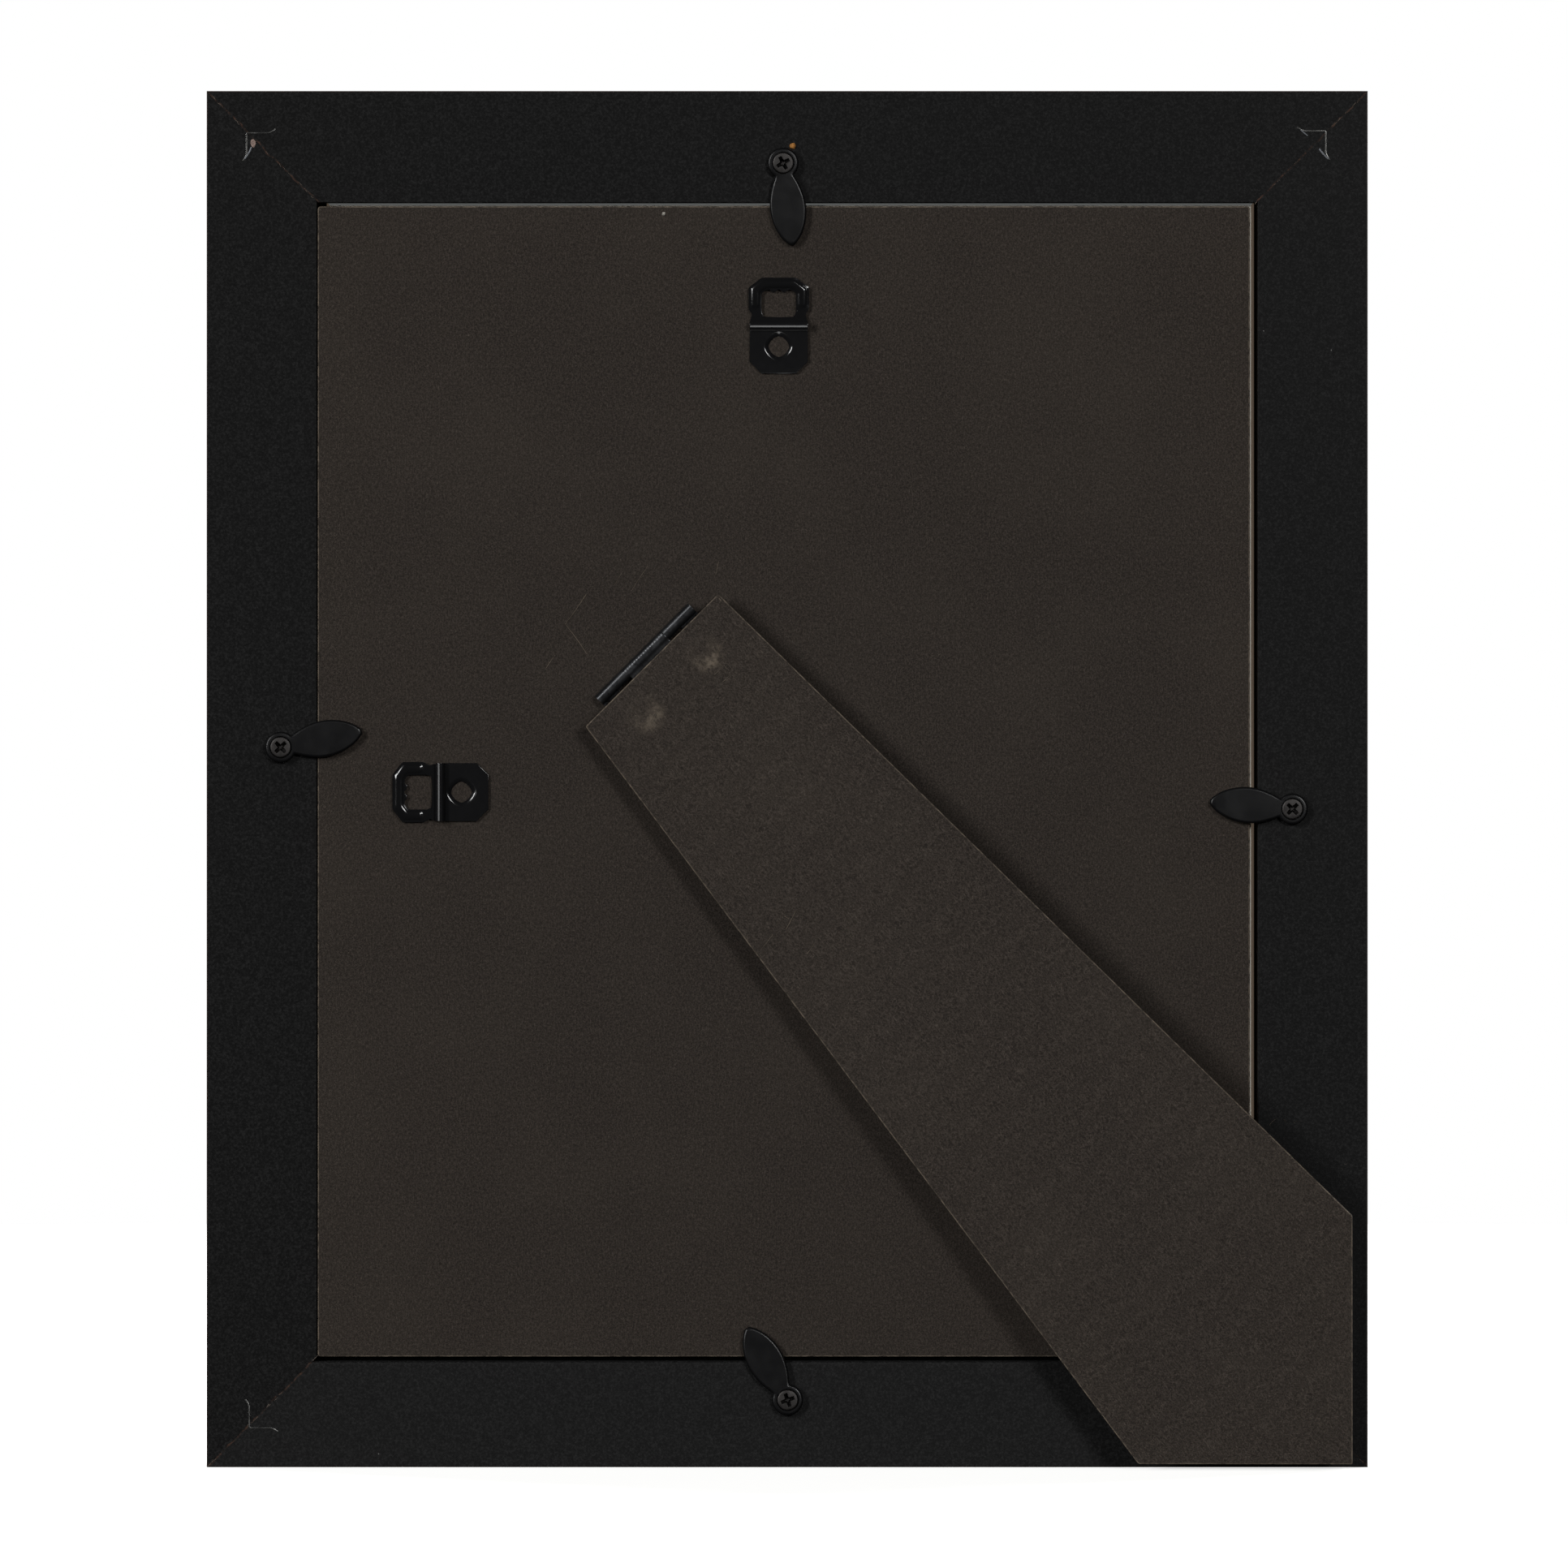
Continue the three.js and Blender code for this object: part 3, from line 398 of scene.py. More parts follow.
def specks(add, coords, spacing, size, share, strength):
    """Scattered dots, with their spacing and size in millimetres, and the share of places that has one."""
    scale = {"Vector": coords, "Scale": 1 / (spacing * MM)}
    near = add("TexVoronoi", scale, "Distance", feature="F1")
    which = add("SeparateColor", {"Color": add("TexVoronoi", scale, "Color", feature="F1")})
    chosen = add("Math", {0: which, 1: share}, operation="LESS_THAN")
    dot = add("MapRange", {0: near, 1: size / spacing / 2, 2: size / spacing, 3: strength, 4: 0})
    return add("Math", {0: dot, 1: chosen}, operation="MULTIPLY")


def inside(add, coords, axis, low, high):
    """How far in a place lies from the nearer of two limits along an axis, in metres."""
    place = add("SeparateXYZ", {"Vector": coords}, axis)
    away = add("Math", {0: place, 1: (low + high) / 2}, operation="SUBTRACT")
    away = add("Math", {0: away}, operation="ABSOLUTE")
    return add("Math", {0: (high - low) / 2, 1: away}, operation="SUBTRACT")


def painted_wood(settings, turn, tone):
    """Satin black paint on machined wood: an even film with a faint grain under it, a little dust, and brown
    wood where the film is thin along the outer edges and the mitres. Tone scales the film's colour: painted
    light, making up for light that a rail misses, most of all the bottom rail, which the floor lends no light."""
    material, add, coords = new_material("satin_black_painted_wood")
    # The film's pebbling is finer than a pixel, so it is drawn as coarse as it needs to show.
    film = cloud(add, coords, 0.46, detail=2, roughness=0.65)
    grain = cloud(add, coords, (9, 0.5, 0.5), turn, detail=3)
    pebbles = add("MapRange", {0: film, 1: 0.3, 2: 0.7})
    # Pale pebbles are fewer and brighter than dark ones.
    pebbles = add("Math", {0: pebbles, 1: 2}, operation="POWER")
    # Tone lightens the paint: painted light for the light that this rail misses.
    tones = {0: pebbles, 6: toned(settings.paint, tone - 0.9), 7: toned(settings.paint, tone + 1.9)}
    paint = add("Mix", tones, 2, data_type="RGBA")
    from_side = inside(add, coords, "X", -WIDTH / 2, WIDTH / 2)
    from_end = inside(add, coords, "Z", 0, HEIGHT)
    from_face = inside(add, coords, "Y", -BACK, BACK)
    # The mitre's brown line wanders a little, and is broken into dashes.
    wander = cloud(add, coords, 3.5, detail=3)
    drift = add("MapRange", {0: wander, 1: 0.2, 2: 0.8, 3: -0.5 * MM, 4: 0.5 * MM})
    off_mitre = add("Math", {0: from_side, 1: from_end}, operation="SUBTRACT")
    off_mitre = add("Math", {0: off_mitre, 1: drift}, operation="ADD")
    off_mitre = add("Math", {0: off_mitre}, operation="ABSOLUTE")
    on_mitre = add("MapRange", {0: off_mitre, 1: 0.1 * MM, 2: 0.36 * MM, 3: 1, 4: 0})
    patches = cloud(add, coords, 1.5, detail=4, roughness=0.7)
    dashes = add("MapRange", {0: patches, 1: 0.46, 2: 0.62, 3: 0.06, 4: 0.9})
    mitre_wood = add("Math", {0: on_mitre, 1: dashes}, operation="MULTIPLY")
    off_edge = add("Math", {0: from_side, 1: from_end}, operation="MINIMUM")
    on_edge = add("MapRange", {0: off_edge, 1: 0.12 * MM, 2: 0.26 * MM, 3: 1, 4: 0})
    rubs = add("MapRange", {0: patches, 1: 0.4, 2: 0.7, 3: 0.3, 4: 0.9})
    on_arris = add("MapRange", {0: from_face, 1: 0.2 * MM, 2: 0.5 * MM, 3: 1, 4: 0})
    on_edge = add("Math", {0: on_edge, 1: on_arris}, operation="MULTIPLY")
    edge_wood = add("Math", {0: on_edge, 1: rubs}, operation="MULTIPLY")
    bare = add("Math", {0: mitre_wood, 1: edge_wood}, operation="MAXIMUM")
    wood_tones = {0: grain, 6: toned(settings.bare_wood, 0.5), 7: toned(settings.bare_wood, 1.1)}
    wood = add("Mix", wood_tones, 2, data_type="RGBA")
    worn = add("Mix", {0: bare, 6: paint, 7: wood}, 2, data_type="RGBA")
    dust = specks(add, coords, spacing=5, size=0.17, share=0.07, strength=0.5)
    surface(
        add,
        Base_Color=add("Mix", {0: dust, 6: worn, 7: toned(settings.dust)}, 2, data_type="RGBA"),
        Roughness=add("MapRange", {0: film, 1: 0.3, 2: 0.7, 3: 0.5, 4: 0.64}),
        Specular_IOR_Level=0.14,
        Normal=add("Bump", {"Height": film, "Distance": 0.03 * MM, "Strength": 0.5}),
    )
    return material


def fibreboard(settings, turn, shade=1.0):
    """Pressed fibreboard dyed nearly black: a felt of short fibres, most of them along the board, with pale
    flecks and dark pits, rubbed paler where an edge or a bump has been handled."""
    material, add, coords = new_material("dark_pressed_fibreboard")
    # Real fibres are finer than a pixel, so the felt is drawn as wide as it needs to show.
    felt = cloud(add, coords, (0.25, 0.25, 0.95), turn, detail=2, roughness=0.6)
    for lean in (52, -58):
        layer = cloud(add, coords, (0.25, 0.25, 0.6), turn + lean, detail=2, roughness=0.6)
        felt = add("Math", {0: felt, 1: layer}, operation="MAXIMUM")
    tone = add("MapRange", {0: felt, 1: 0.44, 2: 0.8})
    # Pale fibres are fewer and brighter than dark ones.
    tone = add("Math", {0: tone, 1: 1.5}, operation="POWER")
    tones = {0: tone, 6: toned(settings.board, 0.47 * shade), 7: toned(settings.board, 2.38 * shade)}
    body = add("Mix", tones, 2, data_type="RGBA")
    hazes = cloud(add, coords, 26, detail=3)
    haze = add("MapRange", {0: hazes, 1: 0.4, 2: 0.75, 3: 0, 4: 0.05})
    hazed = add("Mix", {0: haze, 6: body, 7: toned(settings.fibre)}, 2, data_type="RGBA")
    pits = specks(add, coords, spacing=3.4, size=0.24, share=0.16, strength=0.6)
    pitted = add("Mix", {0: pits, 6: hazed, 7: toned(settings.board, 0.3)}, 2, data_type="RGBA")
    flecks = specks(add, coords, spacing=2.6, size=0.2, share=0.14, strength=0.4)
    flecked = add("Mix", {0: flecks, 6: pitted, 7: toned(settings.fibre)}, 2, data_type="RGBA")
    wear = add("Attribute", None, "Fac", attribute_name="wear")
    patches = cloud(add, coords, 1.4, detail=4, roughness=0.65)
    patchy = add("MapRange", {0: patches, 1: 0.38, 2: 0.62, 3: 0.1, 4: 1})
    rubbed = add("Math", {0: wear, 1: patchy}, operation="MULTIPLY")
    surface(
        add,
        Base_Color=add("Mix", {0: rubbed, 6: flecked, 7: toned(settings.worn)}, 2, data_type="RGBA"),
        Roughness=add("MapRange", {0: felt, 1: 0.4, 2: 0.8, 3: 0.86, 4: 0.76}),
        Specular_IOR_Level=0.12,
        Normal=add("Bump", {"Height": felt, "Distance": 0.03 * MM, "Strength": 0.6}),
    )
    return material


def black_enamel(settings):
    """Gloss black stoving enamel on stamped steel: a thick skin that rounds the sheared edges and mirrors the
    lights, with a slight orange peel and a few grains of dust."""
    material, add, coords = new_material("gloss_black_enamel")
    peel = cloud(add, coords, 0.9, detail=1)
    dull = cloud(add, coords, 1.5, detail=3)
    dust = specks(add, coords, spacing=2.4, size=0.1, share=0.12, strength=0.35)
    tones = {0: dust, 6: toned(settings.enamel), 7: toned(settings.dust)}
    surface(
        add,
        Base_Color=add("Mix", tones, 2, data_type="RGBA"),
        Roughness=add("MapRange", {0: dull, 1: 0.35, 2: 0.65, 3: 0.13, 4: 0.15}),
        Normal=add("Bump", {"Height": peel, "Distance": 0.006 * MM, "Strength": 0.3}),
    )
    return material


def satin_enamel(settings):
    """Satin black powder coat on a die casting: a soft sheen and a fine pebbled skin."""
    material, add, coords = new_material("satin_black_powder_coat")
    pebble = cloud(add, coords, 0.24)
    handled = cloud(add, coords, 5, detail=3)
    tone = add("MapRange", {0: pebble, 1: 0.3, 2: 0.7})
    tones = {0: tone, 6: toned(settings.satin, 0.88), 7: toned(settings.satin, 1.14)}
    surface(
        add,
        Base_Color=add("Mix", tones, 2, data_type="RGBA"),
        Roughness=add("MapRange", {0: handled, 1: 0.35, 2: 0.65, 3: 0.3, 4: 0.38}),
        Specular_IOR_Level=0.32,
        Normal=add("Bump", {"Height": pebble, "Distance": 0.01 * MM, "Strength": 0.5}),
    )
    return material


def rolled_steel(name, steel, turn, roughness, dull=0.0):
    """Cold-rolled steel: grey with a cool cast, drawn faintly along the rolling direction and dulled in
    patches by handling. Dull is the share that a chalky plating hides."""
    material, add, coords = new_material(name)
    drawn = cloud(add, coords, (6, 0.14, 0.14), turn, detail=3)
    dulled = cloud(add, coords, 1.8, detail=3)
    tone = add("MapRange", {0: dulled, 1: 0.3, 2: 0.7})
    surface(
        add,
        Base_Color=add("Mix", {0: tone, 6: toned(steel, 0.85), 7: toned(steel, 1.12)}, 2, data_type="RGBA"),
        Metallic=1 - dull,
        Roughness=add("MapRange", {0: dulled, 1: 0.3, 2: 0.7, 3: roughness - 0.06, 4: roughness + 0.08}),
        Normal=add("Bump", {"Height": drawn, "Distance": 0.012 * MM, "Strength": 0.5}),
    )
    return material


def float_glass(settings):
    """Clear float glass whose edge has been ground: smooth and clear, with a pale frosted band round it, and a
    painted glow in that band.
    """
    material, add, coords = new_material("clear_float_glass")
    low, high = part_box("glass_pane")
    from_side = inside(add, coords, "X", low.x, high.x)
    from_end = inside(add, coords, "Z", low.z, high.z)
    from_edge = add("Math", {0: from_side, 1: from_end}, operation="MINIMUM")
    ground = add("MapRange", {0: from_edge, 1: settings.ground * 0.8, 2: settings.ground, 3: 1, 4: 0})
    grit = cloud(add, coords, 0.5, detail=3)
    # The sides' band takes a warmer tint, a painted cast of the board's colour, for both its colour and its
    # painted glow.
    at_side = add("Math", {0: from_side, 1: from_end}, operation="LESS_THAN")
    tints = {0: at_side, 6: toned(settings.edge_tint), 7: toned(settings.side_tint)}
    tint = add("Mix", tints, 2, data_type="RGBA")
    grain = add("MapRange", {0: grit, 3: 0.6, 4: 1.3})
    frosted = add("VectorMath", {0: tint, "Scale": grain}, operation="SCALE")
    glass = {
        "Base Color": add("Mix", {0: ground, 6: toned(settings.tint), 7: frosted}, 2, data_type="RGBA"),
        "Roughness": add("Math", {0: ground, 1: 0.6}, operation="MULTIPLY"),
        "IOR": 1.52,
        "Transmission Weight": add("MapRange", {0: ground, 3: 1, 4: 0.1}),
        # The ground edge glows by emission: painted light standing in for light that enters through the pane's
        # face and comes out at its ground edge.
        "Emission Color": tint,
        "Emission Strength": add("Math", {0: ground, 1: settings.painted_edge_glow}, operation="MULTIPLY"),
    }
    # A bent ray can't find a lamp, so rays that look for one pass straight through to the card.
    to_lamp = add("LightPath", None, "Is Shadow Ray")
    shaders = {0: to_lamp, 1: add("BsdfPrincipled", glass), 2: add("BsdfTransparent")}
    add("OutputMaterial", {"Surface": add("MixShader", shaders)})
    return material


def plain_card(settings):
    """Uncoated card: off-white, matt, with a soft tooth and a few paler and darker fibres."""
    material, add, coords = new_material("uncoated_off_white_card")
    tooth = cloud(add, coords, 0.35, detail=3)
    pulp = cloud(add, coords, (0.5, 1, 2.2), 24, detail=3)
    tone = add("MapRange", {0: pulp, 1: 0.3, 2: 0.7})
    tones = {0: tone, 6: toned(settings.card, 0.93), 7: toned(settings.card, 1.04)}
    surface(
        add,
        Base_Color=add("Mix", tones, 2, data_type="RGBA"),
        Roughness=0.9,
        Specular_IOR_Level=0.2,
        Normal=add("Bump", {"Height": tooth, "Distance": 0.02 * MM, "Strength": 0.6}),
    )
    return material


def torn_wood(name, pale, size):
    """Torn wood fibre: dull, paler and darker along its length."""
    material, add, coords = new_material(name)
    tone = add("MapRange", {0: cloud(add, coords, size, detail=2), 1: 0.35, 2: 0.65})
    surface(
        add,
        Base_Color=add("Mix", {0: tone, 6: toned(pale, 0.45), 7: toned(pale, 1.1)}, 2, data_type="RGBA"),
        Roughness=0.75,
        Specular_IOR_Level=0.3,
    )
    return material


def placed(location, turn=0):
    """The place of a fitting's own frame, turned about Y."""
    return Matrix.LocRotScale(location, Euler((0, math.radians(turn), 0)), None)


def piece(name, bm, node, material, place, crease=38):
    """Makes the mesh a piece that stands for a CAD node and rides on that node's body."""
    made = loose_piece(name, bm, BODY_OF[node], material, place, crease)
    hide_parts(node)
    return made


def loose_piece(name, bm, body, material, place, crease=38):
    """Makes the mesh a piece that rides on a body, smooth apart from its creases."""
    bmesh.ops.transform(bm, matrix=place @ Matrix.Scale(MM, 4), verts=bm.verts[:])
    for face in bm.faces:
        face.smooth = True
    for edge in bm.edges:
        edge.smooth = edge.is_manifold and edge.calc_face_angle() < math.radians(crease)
    mesh = bpy.data.meshes.new(name)
    bm.to_mesh(mesh)
    bm.free()
    mesh.materials.append(material)
    made = bpy.data.objects.new(name, mesh)
    bpy.context.scene.collection.objects.link(made)
    # Flats stay flat to the eye beside their rounded edges.
    made.modifiers.new("even_shading", "WEIGHTED_NORMAL").keep_sharp = True
    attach(made, body)
    return made


def of_kind(geom, kind):
    return [part for part in geom if isinstance(part, kind)]


def face_outwards(bm):
    bmesh.ops.recalc_face_normals(bm, faces=bm.faces[:])


def wire(bm, points, closed=False):
    """Vertices joined in a row by edges."""
    verts = [bm.verts.new(point) for point in points]
    ends = verts[1:] + verts[:1] if closed else verts[1:]
    return [bm.edges.new(pair) for pair in zip(verts, ends)]


def ring(bm, radius, y, x=0.0, z=0.0, segments=32, squareness=2.0):
    """Edges of a circle that lies flat at a height. Squareness 2 is round, and less draws it to a diamond."""
    flat = Matrix.Translation((x, y, z)) @ Matrix.Rotation(math.radians(90), 4, "X")
    circle = bmesh.ops.create_circle(bm, cap_ends=False, segments=segments, radius=radius, matrix=flat)
    verts = circle["verts"]
    for vert in verts:
        across, along = abs(vert.co.x - x) / radius, abs(vert.co.z - z) / radius
        reach = (across**squareness + along**squareness) ** (1 / squareness)
        vert.co = Vector((x + (vert.co.x - x) / reach, y, z + (vert.co.z - z) / reach))
    return list({edge for vert in verts for edge in vert.link_edges})


def round_edges(bm, geom, radius, segments, affect="EDGES"):
    """Rounds edges, or the corners of a flat outline, and gives the faces that this makes."""
    return bmesh.ops.bevel(
        bm,
        geom=geom,
        offset=radius,
        offset_type="OFFSET",
        affect=affect,
        segments=segments,
        profile=0.5,
        material=-1,
        clamp_overlap=affect == "EDGES",
    )["faces"]


round_corners = partial(round_edges, affect="VERTICES")


def sharp_edges(bm, degrees=60):
    return [edge for edge in bm.edges if edge.is_manifold and edge.calc_face_angle() > math.radians(degrees)]


def swept(bm, geom, axis, degrees, steps, centre=(0, 0, 0)):
    """Sweeps edges or a vertex round an axis, closes a full turn, and gives the last edges."""
    made = bmesh.ops.spin(
        bm,
        geom=geom,
        cent=centre,
        axis=axis,
        dvec=(0, 0, 0),
        angle=math.radians(degrees),
        steps=steps,
        use_merge=degrees == 360,
        use_duplicate=False,
    )
    return of_kind(made["geom_last"], bmesh.types.BMEdge)


def bridged(bm, chains):
    """Joins each ring or row of edges to the next by faces."""
    for outer, inner in zip(chains, chains[1:]):
        bmesh.ops.bridge_loops(bm, edges=outer + inner)


def round_bar(bm, radius, run, y=0):
    """Adds a round bar along x, and gives the edges round its ends."""
    along_x = Matrix.Translation((0, y, 0)) @ Matrix.Rotation(math.radians(90), 4, "Y")
    bar = bmesh.ops.create_cone(
        bm, cap_ends=True, segments=24, radius1=radius, radius2=radius, depth=run, matrix=along_x
    )
    return list({edge for vert in bar["verts"] for edge in vert.link_edges if edge.calc_face_angle() > 1})


def pushed(bm, edges, move):
    """Draws a wall out from edges, and gives its far edges."""
    made = bmesh.ops.extrude_edge_only(bm, edges=edges)["geom"]
    bmesh.ops.translate(bm, vec=move, verts=of_kind(made, bmesh.types.BMVert))
    return of_kind(made, bmesh.types.BMEdge)


def raised(bm, height):
    """Makes the flat face that the mesh holds into a slab."""
    made = bmesh.ops.extrude_face_region(bm, geom=bm.faces[:])["geom"]
    bmesh.ops.translate(bm, vec=(0, height, 0), verts=of_kind(made, bmesh.types.BMVert))
    face_outwards(bm)


def thickened(bm, sheet):
    """Gives an open sheet its thickness on the upper side of its largest face."""
    face_outwards(bm)
    if max(bm.faces, key=lambda face: face.calc_area()).normal.y < 0:
        bmesh.ops.reverse_faces(bm, faces=bm.faces[:])
    bmesh.ops.solidify(bm, geom=bm.faces[:], thickness=-sheet)
    face_outwards(bm)


def opened(bm, upward):
    """Takes away the large flat face on one side, and gives the edges round it."""
    flat = max((f for f in bm.faces if f.normal.y * upward > 0.9), key=lambda f: f.calc_area())
    edges = list(flat.edges)
    bmesh.ops.delete(bm, geom=[flat], context="FACES_ONLY")
    return edges


def filled(bm, edges, upward=1):
    """Fills a flat outline, leaving holes where smaller outlines lie in it."""
    bmesh.ops.triangle_fill(bm, use_beauty=True, use_dissolve=False, edges=edges, normal=(0, upward, 0))


def rail_mesh(size, run, back_width, back_arris):
    """A length of moulding along x, with its ends cut back by the distance from the outer edge."""
    bm = bmesh.new()
    back, front = BACK / MM, FRONT / MM
    floor = back - size.rebate
    lip_front = floor - size.lip
    sight = size.back_width + size.lap
    face_end = sight - size.sight_strip - size.cove
    section = [
        (0, back),
        (0, front),
        (face_end, front),
        (face_end, lip_front),
        (sight, lip_front),
        (sight, floor),
        (back_width, floor),
        (back_width, back),
    ]
    verts = [bm.verts.new((-run / 2, y, z)) for z, y in section]
    bm.faces.new(verts)
    round_corners(bm, [verts[3]], size.cove, 10)
    round_corners(bm, [verts[1]], size.face_round, 6)
    round_corners(bm, [verts[7]], back_arris, 4)
    round_corners(bm, [verts[i] for i in (0, 2, 4, 5)], size.arris, 3)
    far = bmesh.ops.extrude_face_region(bm, geom=bm.faces[:])["geom"]
    bmesh.ops.translate(bm, vec=(run, 0, 0), verts=of_kind(far, bmesh.types.BMVert))
    for end in (-1, 1):
        shear = Matrix(((1, 0, -end, -end * size.mitre_gap), (0, 1, 0, 0), (0, 0, 1, 0), (0, 0, 0, 1)))
        bmesh.ops.transform(bm, matrix=shear, verts=[v for v in bm.verts if v.co.x * end > 0])
    face_outwards(bm)
    caps = [face for face in bm.faces if abs(face.normal.x) > 0.5]
    round_edges(bm, list({edge for cap in caps for edge in cap.edges}), size.mitre_arris, 2)
    return bm


def v_nail_mesh(size):
    """A V of steel strip on edge, its arms flicked out at their ends, driven down from the back."""
    bm = bmesh.new()
    tip = size.nail_inset + size.nail_arm
    bend = tip - 1.6 * size.nail_curl
    out = size.nail_inset - size.nail_curl
    point = size.nail_inset
    path = [(tip, out), (bend, point), (point, point), (point, bend), (out, tip)]
    edges = wire(bm, [(x, size.nail_proud, z) for x, z in path])
    bm.verts.ensure_lookup_table()
    round_corners(bm, [edges[1].verts[0], edges[1].verts[1], edges[2].verts[1]], size.nail_bend, 3)
    pushed(bm, bm.edges[:], (0, -size.nail_depth, 0))
    thickened(bm, size.nail_sheet)
    top = [e for e in sharp_edges(bm) if all(v.co.y > 0 for v in e.verts)]
    round_edges(bm, top, size.nail_sheet / 5, 2)
    return bm


def worn_slab(outline, thickness, corner, edge):
    """A board with rounded corners and rubbed edges. The crests of its edges are marked as worn."""
    bm = bmesh.new()
    wear = bm.verts.layers.float.new("wear")
    bm.faces.new([bm.verts.new((x, 0, z)) for x, z in outline])
    round_corners(bm, bm.verts[:], corner, 4)
    raised(bm, thickness)
    made = set(round_edges(bm, sharp_edges(bm), edge, 2))
    for vert in bm.verts:
        if all(face in made for face in vert.link_faces):
            vert[wear] = 1.0
    return bm, wear


def leg_mesh(size, hinge, at_hinge):
    """The easel leg in the hinge's frame: a tapered board with one foot edge for each way up, and a dipped
    bump over each rim that is clinched under its face. The far side of each bump is scuffed."""
    foot_x, foot_z = size.foot_side_margin - WIDTH / MM / 2, size.foot_bottom_margin
    feet = [(foot_x, foot_z + size.foot_side), (foot_x, foot_z), (foot_x + size.foot_bottom, foot_z)]
    outline = [(-size.leg_top / 2, size.leg_top_at), (size.leg_top / 2, size.leg_top_at)]
    for x, z in feet:
        corner = at_hinge.inverted() @ Vector((x * MM, 0, z * MM))
        outline.append((corner.x / MM, corner.z / MM))
    bm, wear = worn_slab(outline, size.leg_thickness, size.leg_corner, size.edge)
    face_edges = opened(bm, 1)
    # Shares of a bump's radius and height, and how far it is rubbed there.
    steps = ((1.9, 0, 0.03), (1.5, 0.3, 0.22), (1.2, 0.8, 0.5))
    steps += ((1, 1, 0.62), (0.75, 0.85, 0.55), (0.4, 0.4, 0.35))
    bumps = {}
    for side in (-1, 1):
        x, z = side * hinge.rim_spread / 2, hinge.rim_at
        heights = ((r * size.bump_radius, size.leg_thickness + h * size.bump_height) for r, h, _ in steps)
        bumps[x, z] = [ring(bm, radius, y, x, z, segments=40) for radius, y in heights]
    filled(bm, face_edges + [edge for rings in bumps.values() for edge in rings[0]])
    for (x, z), rings in bumps.items():
        bridged(bm, rings)
        bmesh.ops.edgeloop_fill(bm, edges=rings[-1])
        for edges, (_, _, rub) in zip(rings, steps):
            for vert in {v for edge in edges for v in edge.verts}:
                away = (Vector((vert.co.x - x, vert.co.z - z)).normalized().y + 1) / 2
                vert[wear] = rub * (0.1 + 0.9 * away**1.8)
    face_outwards(bm)
    return bm


def fibre_mesh(count, spots, lie, seed):
    """Thin bent strands that lie on a face. Spots gives a random place in x and z, and lie is the usual
    heading in degrees."""
    bm = bmesh.new()
    draw = random.Random(seed)
    # Strands are made in small batches, since each operator walks all of the mesh that it is given.
    most = 60
    batch = bpy.data.meshes.new("strand_batch")
    for start in range(0, count, most):
        part = bmesh.new()
        for _ in range(min(most, count - start)):
            x, z = spots(draw)
            steps = [draw.uniform(0.2, 0.5)] * draw.randint(2, 5)
            bend = draw.gauss(0, 20)
            heading = draw.gauss(lie, 40)
            radius = draw.uniform(0.02, 0.045)
            add_strand(part, Vector((x, 0.02, z)), heading, steps, bend, radius)
        part.to_mesh(batch)
        part.free()
        bm.from_mesh(batch)
    bpy.data.meshes.remove(batch)
    face_outwards(bm)
    return bm


def line_mesh(lines, to_face):
    """Strands between given places of the model's frame, in the frame of the face that they lie on."""
    bm = bmesh.new()
    for *ends, radius in lines:
        start, end = (to_face @ Vector((x * MM, 0, z * MM)) / MM for x, z in ends)
        heading = math.degrees(math.atan2(end.z - start.z, end.x - start.x))
        step = math.hypot(end.x - start.x, end.z - start.z) / 3
        add_strand(bm, Vector((start.x, 0.03, start.z)), heading, [step] * 3, 2, radius)
    face_outwards(bm)
    return bm


def add_strand(bm, start, heading, steps, bend, radius):
    """One strand: a small triangle drawn along a path that turns by the bend at each step."""
    angle = math.radians(heading)
    turned = Matrix.Translation(start) @ Matrix.Rotation(-angle, 4, "Y")
    first = turned @ Matrix.Rotation(math.radians(90), 4, "Y")
    circle = bmesh.ops.create_circle(bm, cap_ends=True, segments=3, radius=radius, matrix=first)
    faces = list({face for vert in circle["verts"] for face in vert.link_faces})
    for step in steps:
        made = bmesh.ops.extrude_face_region(bm, geom=faces)["geom"]
        verts = of_kind(made, bmesh.types.BMVert)
        faces = of_kind(made, bmesh.types.BMFace)
        move = Vector((math.cos(angle), 0, math.sin(angle))) * step
        bmesh.ops.translate(bm, vec=move, verts=verts)
        angle += math.radians(bend)


def dished_hole(bm, size, flat_edges, squareness=1.65):
    """Fills a flat sheet round a hole whose edge is drawn down into a clinched rim. The mesh is the sheet's
    underside."""
    hole, fall = size.rim_hole + size.sheet, size.rim_mouth - size.rim_hole - size.sheet
    # Share of the way out from the hole to the dish's mouth, and the height there.
    steps = ((1, 0), (0.86, -0.02), (0.62, -0.07), (0.3, -0.17), (0.08, -0.3), (0, -0.45))
    steps += ((0, -size.rim_depth),)
    form = {"z": -size.rim_at, "segments": 40, "squareness": squareness}
    rings = [ring(bm, hole + share * fall, y, **form) for share, y in steps]
    filled(bm, flat_edges + rings[0])
    bridged(bm, rings)


